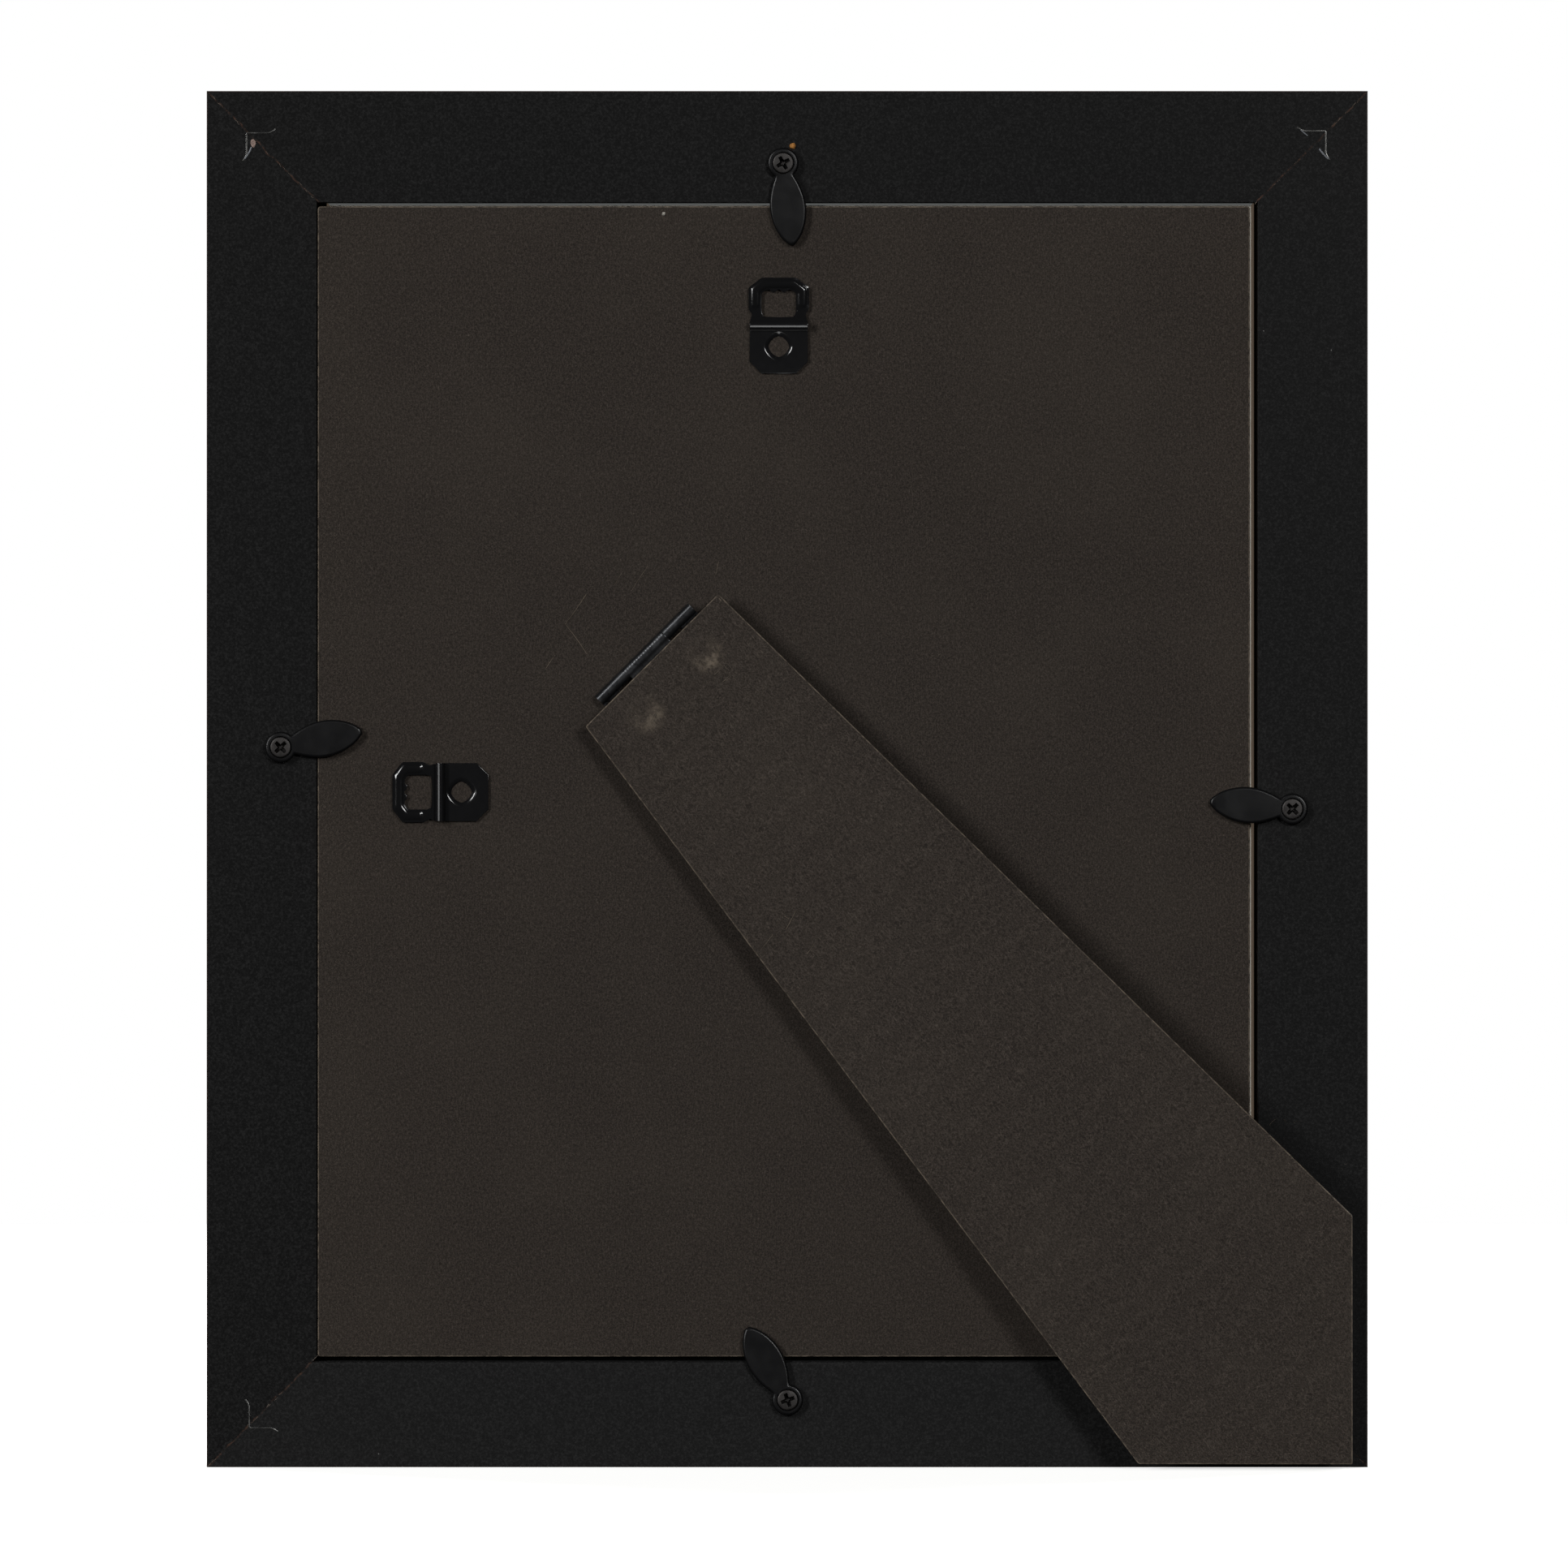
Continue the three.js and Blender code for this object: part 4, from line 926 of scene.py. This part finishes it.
def hanger_plate_mesh(size):
    """The plate: a flat with cut corners and a dished hole, whose near edge is bent up and rolled over."""
    bm = bmesh.new()
    half = size.plate_width / 2
    inner = size.roll - size.sheet
    bend_outer = size.roll_bend + size.sheet / 2
    near = -(inner + bend_outer)
    far = -size.plate_length
    cut = size.plate_chamfer
    outline = [
        (half, near),
        (half, far + cut),
        (half - cut, far),
        (cut - half, far),
        (-half, far + cut),
        (-half, near),
    ]
    edges = wire(bm, [(x, 0, z) for x, z in outline], closed=True)
    dished_hole(bm, size, edges)
    lip = swept(bm, [edges[-1]], ALONG_X, degrees=-90, steps=6, centre=(0, bend_outer, near))
    straight = pushed(bm, lip, (0, size.roll_height - bend_outer, 0))
    swept(bm, straight, ALONG_X, degrees=150, steps=14, centre=(0, size.roll_height, 0))
    bmesh.ops.remove_doubles(bm, verts=bm.verts[:], dist=WELD)
    thickened(bm, size.sheet)
    # The flat comes out of the thickening a little uneven.
    for vert in bm.verts:
        if abs(vert.co.y - size.sheet) < 0.03:
            vert.co.y = size.sheet
    round_edges(bm, sharp_edges(bm), size.edge, 2)
    return bm


def hanger_loop_mesh(size):
    """The loop: a pressed ring with a rib round its arms and top and two teeth in its window, on a round bar.
    Half of it is drawn as rows from the outer edge to the window, then mirrored."""
    bm = bmesh.new()
    top, window_top = 10.5, 7.8
    # Matching points of the outer edge and of the window, each x and z, with how much of the rib is there.
    pairs = [
        ((6.25, 0.25), (0, 0.25), 0),
        ((6.25, 1.25), (0, 1.76), 0),
        ((5.9, 2.2), (3.25, 1.8), 0),
        ((6.1, 2.7), (3.7, 2.6), 0),
        ((6.55, 3.4), (3.8, 3.1), 0),
        ((6.65, 3.9), (3.8, 3.9), 0),
        ((6.65, 4.25), (3.8, 4.25), 0.5),
        ((6.65, 4.7), (3.8, 4.7), 1),
        ((6.65, 8.05), (3.8, 6.6), 1),
        ((6.55, 8.35), (3.66, 7.05), 1),
        ((5.2, 9.4), (3.3, 7.45), 1),
        ((3.95, 10.35), (2.75, 7.72), 1),
        ((3.55, top), (2.3, window_top), 1),
    ]
    tooth_at, tooth_half = 1.15, 0.9
    across = [tooth_at + tooth_half * (1 - i / 5) for i in range(11)] + [0]
    pairs += [((x * 1.5, top), (x, window_top), 1) for x in across]
    # Share of the way from the outer edge to the window, and the height of the pressing there.
    rows = ((0, 0), (0.22, 0), (0.28, 0.3), (0.36, 0.86), (0.44, 1))
    rows += ((0.62, 1), (0.7, 0.86), (0.78, 0.3), (0.84, 0), (1, 0))
    chains = []
    for share, rise in rows:
        points = []
        for outer, window, ribbed in pairs:
            place = Vector(outer).lerp(Vector(window), share)
            if share == 1 and place.y > window_top - 0.1:
                off = min(1, abs(place.x - tooth_at) / tooth_half)
                place.y -= size.tooth * math.cos(off * math.pi / 2)
            points.append((place.x, size.loop_gap + rise * ribbed * size.rib, place.y))
        chains.append(wire(bm, points))
    bridged(bm, chains)
    bmesh.ops.mirror(bm, geom=bm.verts[:] + bm.edges[:] + bm.faces[:], merge_dist=WELD, axis="X")
    bmesh.ops.remove_doubles(bm, verts=bm.verts[:], dist=WELD)
    thickened(bm, size.sheet)
    round_edges(bm, sharp_edges(bm), size.edge, 2)
    round_edges(bm, round_bar(bm, size.bar, size.bar_width, size.roll_height), size.edge, 2)
    return bm


def leaf_mesh(size, breaks, keep, dips=(), burred=False):
    """A hinge leaf: a flat along the board, rolled round the pin. Breaks are the places along the pin where
    straps and knuckles begin and end, keep says which cells of the sheet are metal, and dips are places on
    the way to the knuckle with how far the sheet drops there."""
    bm = bmesh.new()
    rows = [(size.leaf, 0), (size.body_at, 0), *dips, (size.slot_at, 0), (0, 0)]
    edges = wire(bm, [(x, -size.radius, size.leaf) for x in breaks])
    for (here, low), (there, high) in zip(rows, rows[1:]):
        edges = pushed(bm, edges, (0, high - low, there - here))
    swept(bm, edges, ALONG_X, degrees=255, steps=26)
    face_outwards(bm)

    def rolled(place):
        return place.z < 0 or place.y > -0.9 * size.radius

    gone = []
    for face in bm.faces:
        middle = face.calc_center_median()
        if not keep(middle.x, middle.z, rolled(middle)):
            gone.append(face)
    bmesh.ops.delete(bm, geom=gone, context="FACES")
    if burred:
        for vert in bm.verts:
            if rolled(vert.co):
                cut = size.burr * math.sin(math.pi * vert.co.x / size.burr_pitch) ** 2
                vert.co -= Vector((0, vert.co.y, vert.co.z)).normalized() * cut
    flat = [v for v in bm.verts if v.co.z > size.leaf - 0.01 and len(v.link_edges) == 2]
    round_corners(bm, flat, size.leaf_corner, 4)
    thickened(bm, size.sheet)
    round_edges(bm, sharp_edges(bm), size.edge, 2)
    return bm


def board_leaf_mesh(size):
    """The leaf on the board: a knuckle at each end, each on its own strap."""
    end = size.span / 2
    strap = end - size.strap
    middle = size.middle / 2 + size.gap

    def keep(x, z, rolled):
        if z > size.body_at and not rolled:
            return True
        if rolled or z < size.slot_at:
            return abs(x) > middle
        return abs(x) > strap

    return leaf_mesh(size, [-end, -strap, -middle, middle, strap, end], keep)


def leg_leaf_mesh(size):
    """The leaf on the leg: the same stamping turned over, with the middle knuckle, marked by the roller."""
    end = size.span / 2
    middle = size.middle / 2
    marks = int(size.middle / size.burr_pitch * 4)
    breaks = [-end] + [-middle + size.middle * i / marks for i in range(marks + 1)] + [end]

    def keep(x, z, rolled):
        return abs(x) < middle or (z > size.body_at and not rolled)

    dips = [(2.7, 0.6 * size.dip), (2, size.dip), (1.3, 0.85 * size.dip), (0.9, 0.4 * size.dip)]
    bm = leaf_mesh(size, breaks, keep, dips, burred=True)
    bmesh.ops.rotate(bm, cent=(0, 0, 0), matrix=Matrix.Rotation(math.pi, 3, "Z"), verts=bm.verts[:])
    return bm


def pin_mesh(size):
    bm = bmesh.new()
    round_edges(bm, round_bar(bm, size.pin, size.span), size.pin / 3, 3)
    return bm


def button_mesh(size):
    """A turn button: one outline of bowed leaf and round boss, with rounded edges and a seat for a screw."""
    bm = bmesh.new()
    neck_z = math.sqrt(size.boss**2 - size.neck**2)
    neck = Vector((size.neck, 0, neck_z))
    widest = Vector((size.leaf, 0, size.leaf_at))
    tip = Vector((size.tip, 0, size.reach))
    swell, taper = (size.leaf_at - neck_z) / 3, size.reach - size.leaf_at
    flared, straight = neck + Vector((swell / 2, 0, swell)), widest - Vector((0, 0, swell))
    side = interpolate_bezier(neck, flared, straight, widest, 11)
    shoulder = widest + Vector((0, 0, taper * 0.4))
    point = Vector((size.leaf * 0.67, 0, size.reach - taper * 0.2))
    side += interpolate_bezier(widest, shoulder, point, tip, 15)[1:]
    other = [Vector((-p.x, 0, p.z)) for p in reversed(side)]
    wire(bm, side + other)
    bm.verts.ensure_lookup_table()
    neck_half = math.degrees(math.atan2(size.neck, neck_z))
    swept(bm, [bm.verts[0]], ALONG_Y, degrees=360 - 2 * neck_half, steps=30)
    bmesh.ops.remove_doubles(bm, verts=bm.verts[:], dist=1e-3)
    bmesh.ops.edgeloop_fill(bm, edges=bm.edges[:])
    raised(bm, size.thickness)
    rim = [e for e in sharp_edges(bm) if all(v.co.y > size.thickness / 2 for v in e.verts)]
    round_edges(bm, rim, size.edge, 5)
    seat = size.thickness - size.head_sunk
    wide, bore = size.head + size.head_gap, size.shank + size.head_gap
    lip = size.head_gap / 2
    steps = ((wide + lip, size.thickness), (wide, size.thickness - lip), (wide, seat))
    steps += ((bore, seat), (bore, 0))
    top, bottom = opened(bm, 1), opened(bm, -1)
    rings = [ring(bm, radius, y, segments=36) for radius, y in steps]
    filled(bm, top + rings[0])
    filled(bm, bottom + rings[-1], -1)
    bridged(bm, rings)
    face_outwards(bm)
    return bm


def screw_mesh(size):
    """A cross-head wood screw, point down, with its head's underside at y = 0."""
    bm = bmesh.new()
    top, head = size.head_height, size.head
    point = 2.4
    # Down the head's rounded rim, its side and underside, and the shank to its point.
    profile = [
        (head - 0.3, top),
        (head - 0.14, top - 0.05),
        (head - 0.03, top - 0.16),
        (head, top - 0.3),
        (head, 0),
        (size.shank, 0),
        (size.shank, point - size.screw),
        (0.05, -size.screw),
    ]
    edges = wire(bm, [(x, y, 0) for x, y in profile])
    swept(bm, edges, ALONG_Y, degrees=360, steps=36)
    rim = [e for e in bm.edges if e.is_boundary and e.verts[0].co.y > 0]
    bmesh.ops.edgeloop_fill(bm, edges=[e for e in bm.edges if e.is_boundary and e.verts[0].co.y < 0])
    far, near = size.cross / 2, size.cross_slot / 2
    arm = [(near, near), (far, near * 0.8), (far, -near * 0.8)]
    outline = []
    for quarter in range(4):
        turn = Matrix.Rotation(math.radians(-90 * quarter), 2)
        outline += [turn @ Vector(point) for point in arm]
    cross = wire(bm, [(p.x, top, p.y) for p in outline], closed=True)
    filled(bm, rim + cross)
    # The recess goes down in two steps, each with how deep it goes and how much it narrows.
    for drop, shrink in ((0.6, 0.88), (1, 0.35)):
        cross = pushed(bm, cross, (0, -drop, 0))
        verts = list({v for edge in cross for v in edge.verts})
        bmesh.ops.scale(bm, vec=(shrink, 1, shrink), verts=verts)
    bmesh.ops.edgeloop_fill(bm, edges=cross)
    face_outwards(bm)
    return bm


def crumb_mesh(width, height, rise, seed):
    """A torn crumb of wood: a small ball pressed flat and pulled about."""
    bm = bmesh.new()
    draw = random.Random(seed)
    bmesh.ops.create_icosphere(bm, subdivisions=2, radius=0.5)
    for vert in bm.verts:
        vert.co *= draw.uniform(0.75, 1.15)
    axes = {"use_axis_x": True, "use_axis_y": True, "use_axis_z": True}
    bmesh.ops.smooth_vert(bm, verts=bm.verts[:], factor=0.3, **axes)
    bmesh.ops.scale(bm, vec=(width, rise, height), verts=bm.verts[:])
    return bm


class PICTURE_FRAME_OT_moulding(bpy.types.Operator):
    """Runs the four mitred lengths of moulding"""

    bl_idname = "picture_frame.moulding"
    bl_label = "Moulding"

    def execute(self, context):
        settings = context.scene.picture_frame.moulding
        size = Millimetres(settings)
        for side, (place, turn, run, tone) in RAILS.items():
            wider, arris = UNEVEN_BACKS.get(side, (0, size.back_arris))
            bm = rail_mesh(size, run / MM, size.back_width + wider, arris)
            paint = painted_wood(settings, turn, tone)
            piece(side + "_rail_moulding", bm, side + "_rail", paint, placed(place, turn), crease=30)
        return {"FINISHED"}


class PICTURE_FRAME_OT_v_nails(bpy.types.Operator):
    """Drives a V-nail across each mitre"""

    bl_idname = "picture_frame.v_nails"
    bl_label = "V-nails"

    def execute(self, context):
        settings = context.scene.picture_frame.moulding
        steel = rolled_steel("bare_steel_strip", settings.steel, turn=0, roughness=0.34)
        for corner, (place, turn) in CORNERS.items():
            x, z = STRAYED.get(corner, (0, 0))
            bm = v_nail_mesh(Millimetres(settings))
            at = placed(place + Vector((x * MM, 0, z * MM)), turn)
            piece(corner + "_v_nail_strip", bm, corner + "_v_nail", steel, at)
        return {"FINISHED"}


class PICTURE_FRAME_OT_glazing(bpy.types.Operator):
    """Gives the glass and the card their finishes"""

    bl_idname = "picture_frame.glazing"
    bl_label = "Glass and card"

    def execute(self, context):
        settings = context.scene.picture_frame.glazing
        for node, finish in (("glass_pane", float_glass(settings)), ("insert_sheet", plain_card(settings))):
            materials = frame["nodes"][node].data.materials
            materials.clear()
            materials.append(finish)
        return {"FINISHED"}


class PICTURE_FRAME_OT_boards(bpy.types.Operator):
    """Cuts the backing board and the easel leg"""

    bl_idname = "picture_frame.boards"
    bl_label = "Backing board and leg"

    def execute(self, context):
        settings = context.scene.picture_frame.board
        size = Millimetres(settings)
        hinge = Millimetres(context.scene.picture_frame.hinge)
        low, high = BOARD_LOW / MM, BOARD_HIGH / MM
        bottom, top = low.z - size.drop, high.z - size.drop
        outline = [(low.x, bottom), (high.x, bottom), (high.x, top), (low.x, top)]
        bm, _ = worn_slab(outline, high.y - low.y, size.corner, size.edge)
        in_rebate = placed(Vector((0, BOARD_LOW.y, 0)))
        piece("backing_board_panel", bm, "backing_board", fibreboard(settings, turn=0), in_rebate)
        bm = leg_mesh(size, hinge, AT_HINGE)
        on_leaf = AT_SWING @ Matrix.Translation((0, hinge.radius * MM, 0))
        piece("easel_leg_panel", bm, "easel_leg", fibreboard(settings, turn=38, shade=1.04), on_leaf)
        return {"FINISHED"}


class PICTURE_FRAME_OT_fibres(bpy.types.Operator):
    """Scatters loose fibres on the board and the leg, splinters along the mitres, and a few crumbs"""

    bl_idname = "picture_frame.fibres"
    bl_label = "Loose fibres"

    def execute(self, context):
        settings = context.scene.picture_frame.board
        fibre = torn_wood("loose_board_fibre", settings.loose, size=4)
        on_back = placed(Vector((0, BACK, 0)))
        low, high = BOARD_LOW / MM, BOARD_HIGH / MM

        def on_board(draw):
            return draw.uniform(low.x + 2, high.x - 6), draw.uniform(low.z + 3, high.z - 3)

        bm = fibre_mesh(settings.loose_fibres, on_board, lie=90, seed=7)
        loose_piece("board_loose_fibres", bm, "frame", fibre, on_back)
        pale = torn_wood("pale_board_fibre", settings.worn, size=2.5)
        bm = line_mesh(LONG_FIBRES, Matrix())
        loose_piece("board_long_fibres", bm, "frame", pale, on_back)

        def on_leg(draw):
            # The leg is 41 mm wide at the top and widens by a fifth of the way down. Its edges stay clear.
            down = draw.uniform(8, 190)
            return draw.uniform(-0.42, 0.42) * (41 + 0.2 * down), down

        bm = fibre_mesh(settings.loose_fibres // 5, on_leg, lie=45, seed=11)
        leg_face = context.scene.picture_frame.hinge.radius + settings.leg_thickness
        on_leg_face = AT_SWING @ Matrix.Translation((0, leg_face, 0))
        loose_piece("leg_loose_fibres", bm, "easel_leg", fibre, on_leg_face)
        bm = line_mesh(LEG_SCRATCHES, AT_HINGE.inverted())
        loose_piece("leg_scratches", bm, "easel_leg", pale, on_leg_face)
        self.splinter(context.scene.picture_frame.moulding, on_back)
        return {"FINISHED"}

    def splinter(self, settings, on_back):
        """Pale splinters along the mitres, bright burrs at the V-nails, and a few crumbs."""
        draw = random.Random(23)
        bm = bmesh.new()
        inset = settings.back_width / MM
        for place, turn in CORNERS.values():
            at = placed(Vector((place.x, 0, place.z)) / MM, turn)
            heading = 45 - turn
            for _ in range(14):
                along = draw.betavariate(0.7, 0.7) * inset
                spot = at @ Vector((along + draw.gauss(0, 0.12), 0.01, along + draw.gauss(0, 0.12)))
                steps = [draw.uniform(0.2, 0.55)] * 2
                lean, bend = draw.gauss(0, 9), draw.gauss(0, 8)
                radius = draw.uniform(0.03, 0.07)
                add_strand(bm, spot, heading + lean, steps, bend, radius)
        face_outwards(bm)
        splinters = torn_wood("torn_painted_wood", settings.splinter, size=0.8)
        loose_piece("mitre_splinters", bm, "frame", splinters, on_back)
        bm = bmesh.new()
        # Slivers that the nails' ends scraped up: start in x and z, heading, step, bend and radius.
        burrs = (
            ((119.6, 288.4), 130, 0.75, -6, 0.24),
            ((-119.3, 288.4), 42, 0.75, 4, 0.26),
            ((-114.7, 293.5), 40, 0.5, 0, 0.14),
        )
        for (x, z), heading, step, bend, radius in burrs:
            add_strand(bm, Vector((x, 0.05, z)), heading, [step] * 4, bend, radius)
        face_outwards(bm)
        scraped = rolled_steel("scraped_steel", settings.burr, turn=0, roughness=0.5, dull=0.4)
        loose_piece("nail_burrs", bm, "frame", scraped, on_back)
        # Body, size in x, z and y, place in x and z, and colour of each crumb.
        crumbs = (
            ("nail_chip", "frame", (1.25, 1.9, 0.2), (117.7, 291.85), "A08A80"),
            ("wood_crumb", "top_button", (1.5, 1.5, 0.9), (-1.25, 291.2), "B97F3E"),
            ("paper_crumb", "frame", (0.9, 0.8, 0.4), (27.2, 276.3), "BDB8AE"),
        )
        for seed, (name, body, (wide, tall, rise), (x, z), hex_colour) in enumerate(crumbs):
            bm = crumb_mesh(wide, tall, rise, seed)
            spot = on_back @ Matrix.Translation((x * MM, rise * MM * 0.3, z * MM))
            finish = torn_wood(name + "_fibre", linear(hex_colour), size=0.35)
            loose_piece(name, bm, body, finish, spot)


class PICTURE_FRAME_OT_hinge(bpy.types.Operator):
    """Rolls the two leaves of the easel hinge on their pin"""

    bl_idname = "picture_frame.hinge"
    bl_label = "Easel hinge"

    def execute(self, context):
        settings = context.scene.picture_frame.hinge
        size = Millimetres(settings)
        steel = rolled_steel("zinc_plated_steel", settings.steel, HINGE_TURN, roughness=0.3, dull=0.12)
        piece("hinge_board_leaf_stamping", board_leaf_mesh(size), "hinge_board_leaf", steel, AT_HINGE)
        piece("hinge_leg_leaf_stamping", leg_leaf_mesh(size), "hinge_leg_leaf", steel, AT_SWING)
        piece("hinge_pin_wire", pin_mesh(size), "hinge_pin", steel, AT_HINGE)
        return {"FINISHED"}


class PICTURE_FRAME_OT_hangers(bpy.types.Operator):
    """Stamps the two hangers, each a plate and a loop"""

    bl_idname = "picture_frame.hangers"
    bl_label = "Hangers"

    def execute(self, context):
        settings = context.scene.picture_frame.hanger
        size = Millimetres(settings)
        enamel = black_enamel(settings)
        for side, turn in HANGER_TURNS.items():
            at = Vector(JOINTS[side + "_loop_swing"]["pos_m"])
            place = placed(Vector((at.x, BACK, at.z)), turn)
            for part, bm in (("plate", hanger_plate_mesh(size)), ("loop", hanger_loop_mesh(size))):
                node = f"{side}_hanger_{part}"
                piece(node + "_stamping", bm, node, enamel, place)
        return {"FINISHED"}


class PICTURE_FRAME_OT_turn_buttons(bpy.types.Operator):
    """Casts the four turn buttons and drives their screws"""

    bl_idname = "picture_frame.turn_buttons"
    bl_label = "Turn buttons and screws"

    def execute(self, context):
        settings = context.scene.picture_frame.button
        size = Millimetres(settings)
        satin = satin_enamel(settings)
        steel = rolled_steel("blackened_screw_steel", settings.steel, turn=0, roughness=0.5)
        for side, (leaf_turn, screw_turn) in BUTTON_TURNS.items():
            at = Vector(JOINTS[side + "_button_turn"]["pos_m"])
            rail_turn = RAILS[side][1]
            place = placed(at, rail_turn + leaf_turn)
            piece(side + "_turn_button_casting", button_mesh(size), side + "_turn_button", satin, place)
            seat = Vector((0, (size.thickness - size.head_sunk) * MM, 0))
            place = placed(at + seat, rail_turn + screw_turn)
            piece(side + "_button_screw_turned", screw_mesh(size), side + "_button_screw", steel, place)
        return {"FINISHED"}


class PICTURE_FRAME_OT_studio(bpy.types.Operator):
    """Sets the floor, the soft lights and the camera behind the frame"""

    bl_idname = "picture_frame.studio"
    bl_label = "Studio"

    def execute(self, context):
        settings = context.scene.picture_frame.studio
        scene = context.scene
        self.lay_floor(scene, settings)
        self.light_world(scene, settings.ambient)
        middle = Vector((0, 0, HEIGHT / 2))
        # Place, width and height, and power of each light.
        boxes = (
            ("left_softbox", (3.8, 3.8, 1.85), (0.9, 2.6), settings.left_power),
            ("right_softbox", (-1.68, 4.0, 1.39), (0.9, 1.0), settings.right_power),
            ("front_left_softbox", (0.8, -1.0, 0.8), (0.7, 0.7), settings.front_power),
            ("front_right_softbox", (-0.8, -1.0, 0.8), (0.7, 0.7), settings.front_power),
        )
        for name, place, span, power in boxes:
            self.hang_softbox(scene, name, Vector(place), middle, span, power)
        cards = (
            ("top_hanger_plate", (0.0018, 0.2, 0.135), (0.035, 0.17), settings.card_power / 3),
            ("left_hanger_plate", (0.3, 0.45, 0.149), (0.3, 0.06), settings.card_power),
        )
        for node, place, span, power in cards:
            self.hang_card(scene, node, Vector(place), span, power)
        self.set_camera(scene, settings.lens)
        scene.view_settings.view_transform = "Standard"
        return {"FINISHED"}

    def lay_floor(self, scene, settings):
        """A wide pale floor of lit opal sheet. It shows to the camera, but lends the frame no light."""
        bm = bmesh.new()
        bmesh.ops.create_circle(bm, cap_ends=True, segments=64, radius=1.6)
        mesh = bpy.data.meshes.new("floor")
        bm.to_mesh(mesh)
        bm.free()
        material, add, coords = new_material("pale_opal_floor")
        tones = {0: cloud(add, coords, 40), 6: toned(settings.floor, 0.99), 7: toned(settings.floor)}
        surface(
            add,
            Base_Color=add("Mix", tones, 2, data_type="RGBA"),
            Roughness=0.85,
            Specular_IOR_Level=0.1,
            Emission_Color=toned(settings.floor),
            Emission_Strength=settings.glow,
        )
        mesh.materials.append(material)
        floor = bpy.data.objects.new("floor", mesh)
        floor.visible_diffuse = False
        floor.visible_glossy = False
        scene.collection.objects.link(floor)

    def light_world(self, scene, ambient):
        """White behind the object, and a dim even light on it."""
        world = bpy.data.worlds.new("studio")
        scene.world = world
        world.use_nodes = True
        world.node_tree.nodes.clear()
        add = partial(add_node, world.node_tree)
        seen = add("LightPath", None, "Is Camera Ray")
        strength = add("MapRange", {0: seen, 3: ambient, 4: 1})
        shader = add("Background", {"Color": (1, 1, 1, 1), "Strength": strength})
        add("OutputWorld", {"Surface": shader})

    def hang_softbox(self, scene, name, place, target, span, power):
        light = bpy.data.lights.new(name, "AREA")
        light.shape = "RECTANGLE"
        light.size, light.size_y = span
        light.energy = power
        box = bpy.data.objects.new(name, light)
        box.location = place
        box.rotation_euler = (target - place).to_track_quat("-Z", "Y").to_euler()
        box.visible_camera = False
        scene.collection.objects.link(box)
        return box

    def hang_card(self, scene, node, place, span, power):
        """A small lit card behind the frame, for one piece's gloss alone to show."""
        ahead = Vector((place.x, 0, place.z))
        card = self.hang_softbox(scene, node + "_card", place, ahead, span, power)
        pieces = bpy.data.collections.new(node)
        for made in scene.objects:
            if made.name.startswith(node) and made.type == "MESH":
                pieces.objects.link(made)
        card.light_linking.receiver_collection = pieces

    def set_camera(self, scene, lens):
        """Straight behind the frame, at the distance where the photograph's span fills the picture."""
        data = bpy.data.cameras.new("camera")
        data.lens = lens
        camera = bpy.data.objects.new("camera", data)
        x, z = PHOTO_MIDDLE
        camera.location = (x, BACK + PHOTO_SPAN * lens / data.sensor_width, z)
        camera.rotation_euler = (math.radians(90), 0, math.radians(180))
        data.clip_end = 50
        scene.collection.objects.link(camera)
        scene.camera = camera


OPERATORS = (
    PICTURE_FRAME_OT_moulding,
    PICTURE_FRAME_OT_v_nails,
    PICTURE_FRAME_OT_glazing,
    PICTURE_FRAME_OT_boards,
    PICTURE_FRAME_OT_fibres,
    PICTURE_FRAME_OT_hinge,
    PICTURE_FRAME_OT_hangers,
    PICTURE_FRAME_OT_turn_buttons,
    PICTURE_FRAME_OT_studio,
)


def own_names(group):
    """Names of the settings that a group adds to Blender's own."""
    return [name for name in group.bl_rna.properties.keys() if name not in ("rna_type", "name")]


class PICTURE_FRAME_PT_dressing(bpy.types.Panel):
    """Lists the pieces that can be built, and their settings"""

    bl_label = "Picture Frame"
    bl_space_type = "VIEW_3D"
    bl_region_type = "UI"
    bl_category = "Picture Frame"

    def draw(self, context):
        for operator in OPERATORS:
            self.layout.operator(operator.bl_idname)
        groups = context.scene.picture_frame
        for group in own_names(groups):
            settings = getattr(groups, group)
            box = self.layout.box()
            box.label(text=group.title())
            for name in own_names(settings):
                box.prop(settings, name)


CLASSES = (
    MouldingSettings,
    BoardSettings,
    HangerSettings,
    HingeSettings,
    ButtonSettings,
    GlazingSettings,
    StudioSettings,
    PictureFrameSettings,
    *OPERATORS,
    PICTURE_FRAME_PT_dressing,
)


def register():
    for cls in CLASSES:
        bpy.utils.register_class(cls)
    bpy.types.Scene.picture_frame = PointerProperty(type=PictureFrameSettings)


def unregister():
    del bpy.types.Scene.picture_frame
    for cls in reversed(CLASSES):
        bpy.utils.unregister_class(cls)


def main():
    register()
    for operator in OPERATORS:
        category, name = operator.bl_idname.split(".")
        getattr(getattr(bpy.ops, category), name)()


if __name__ == "__main__":
    main()
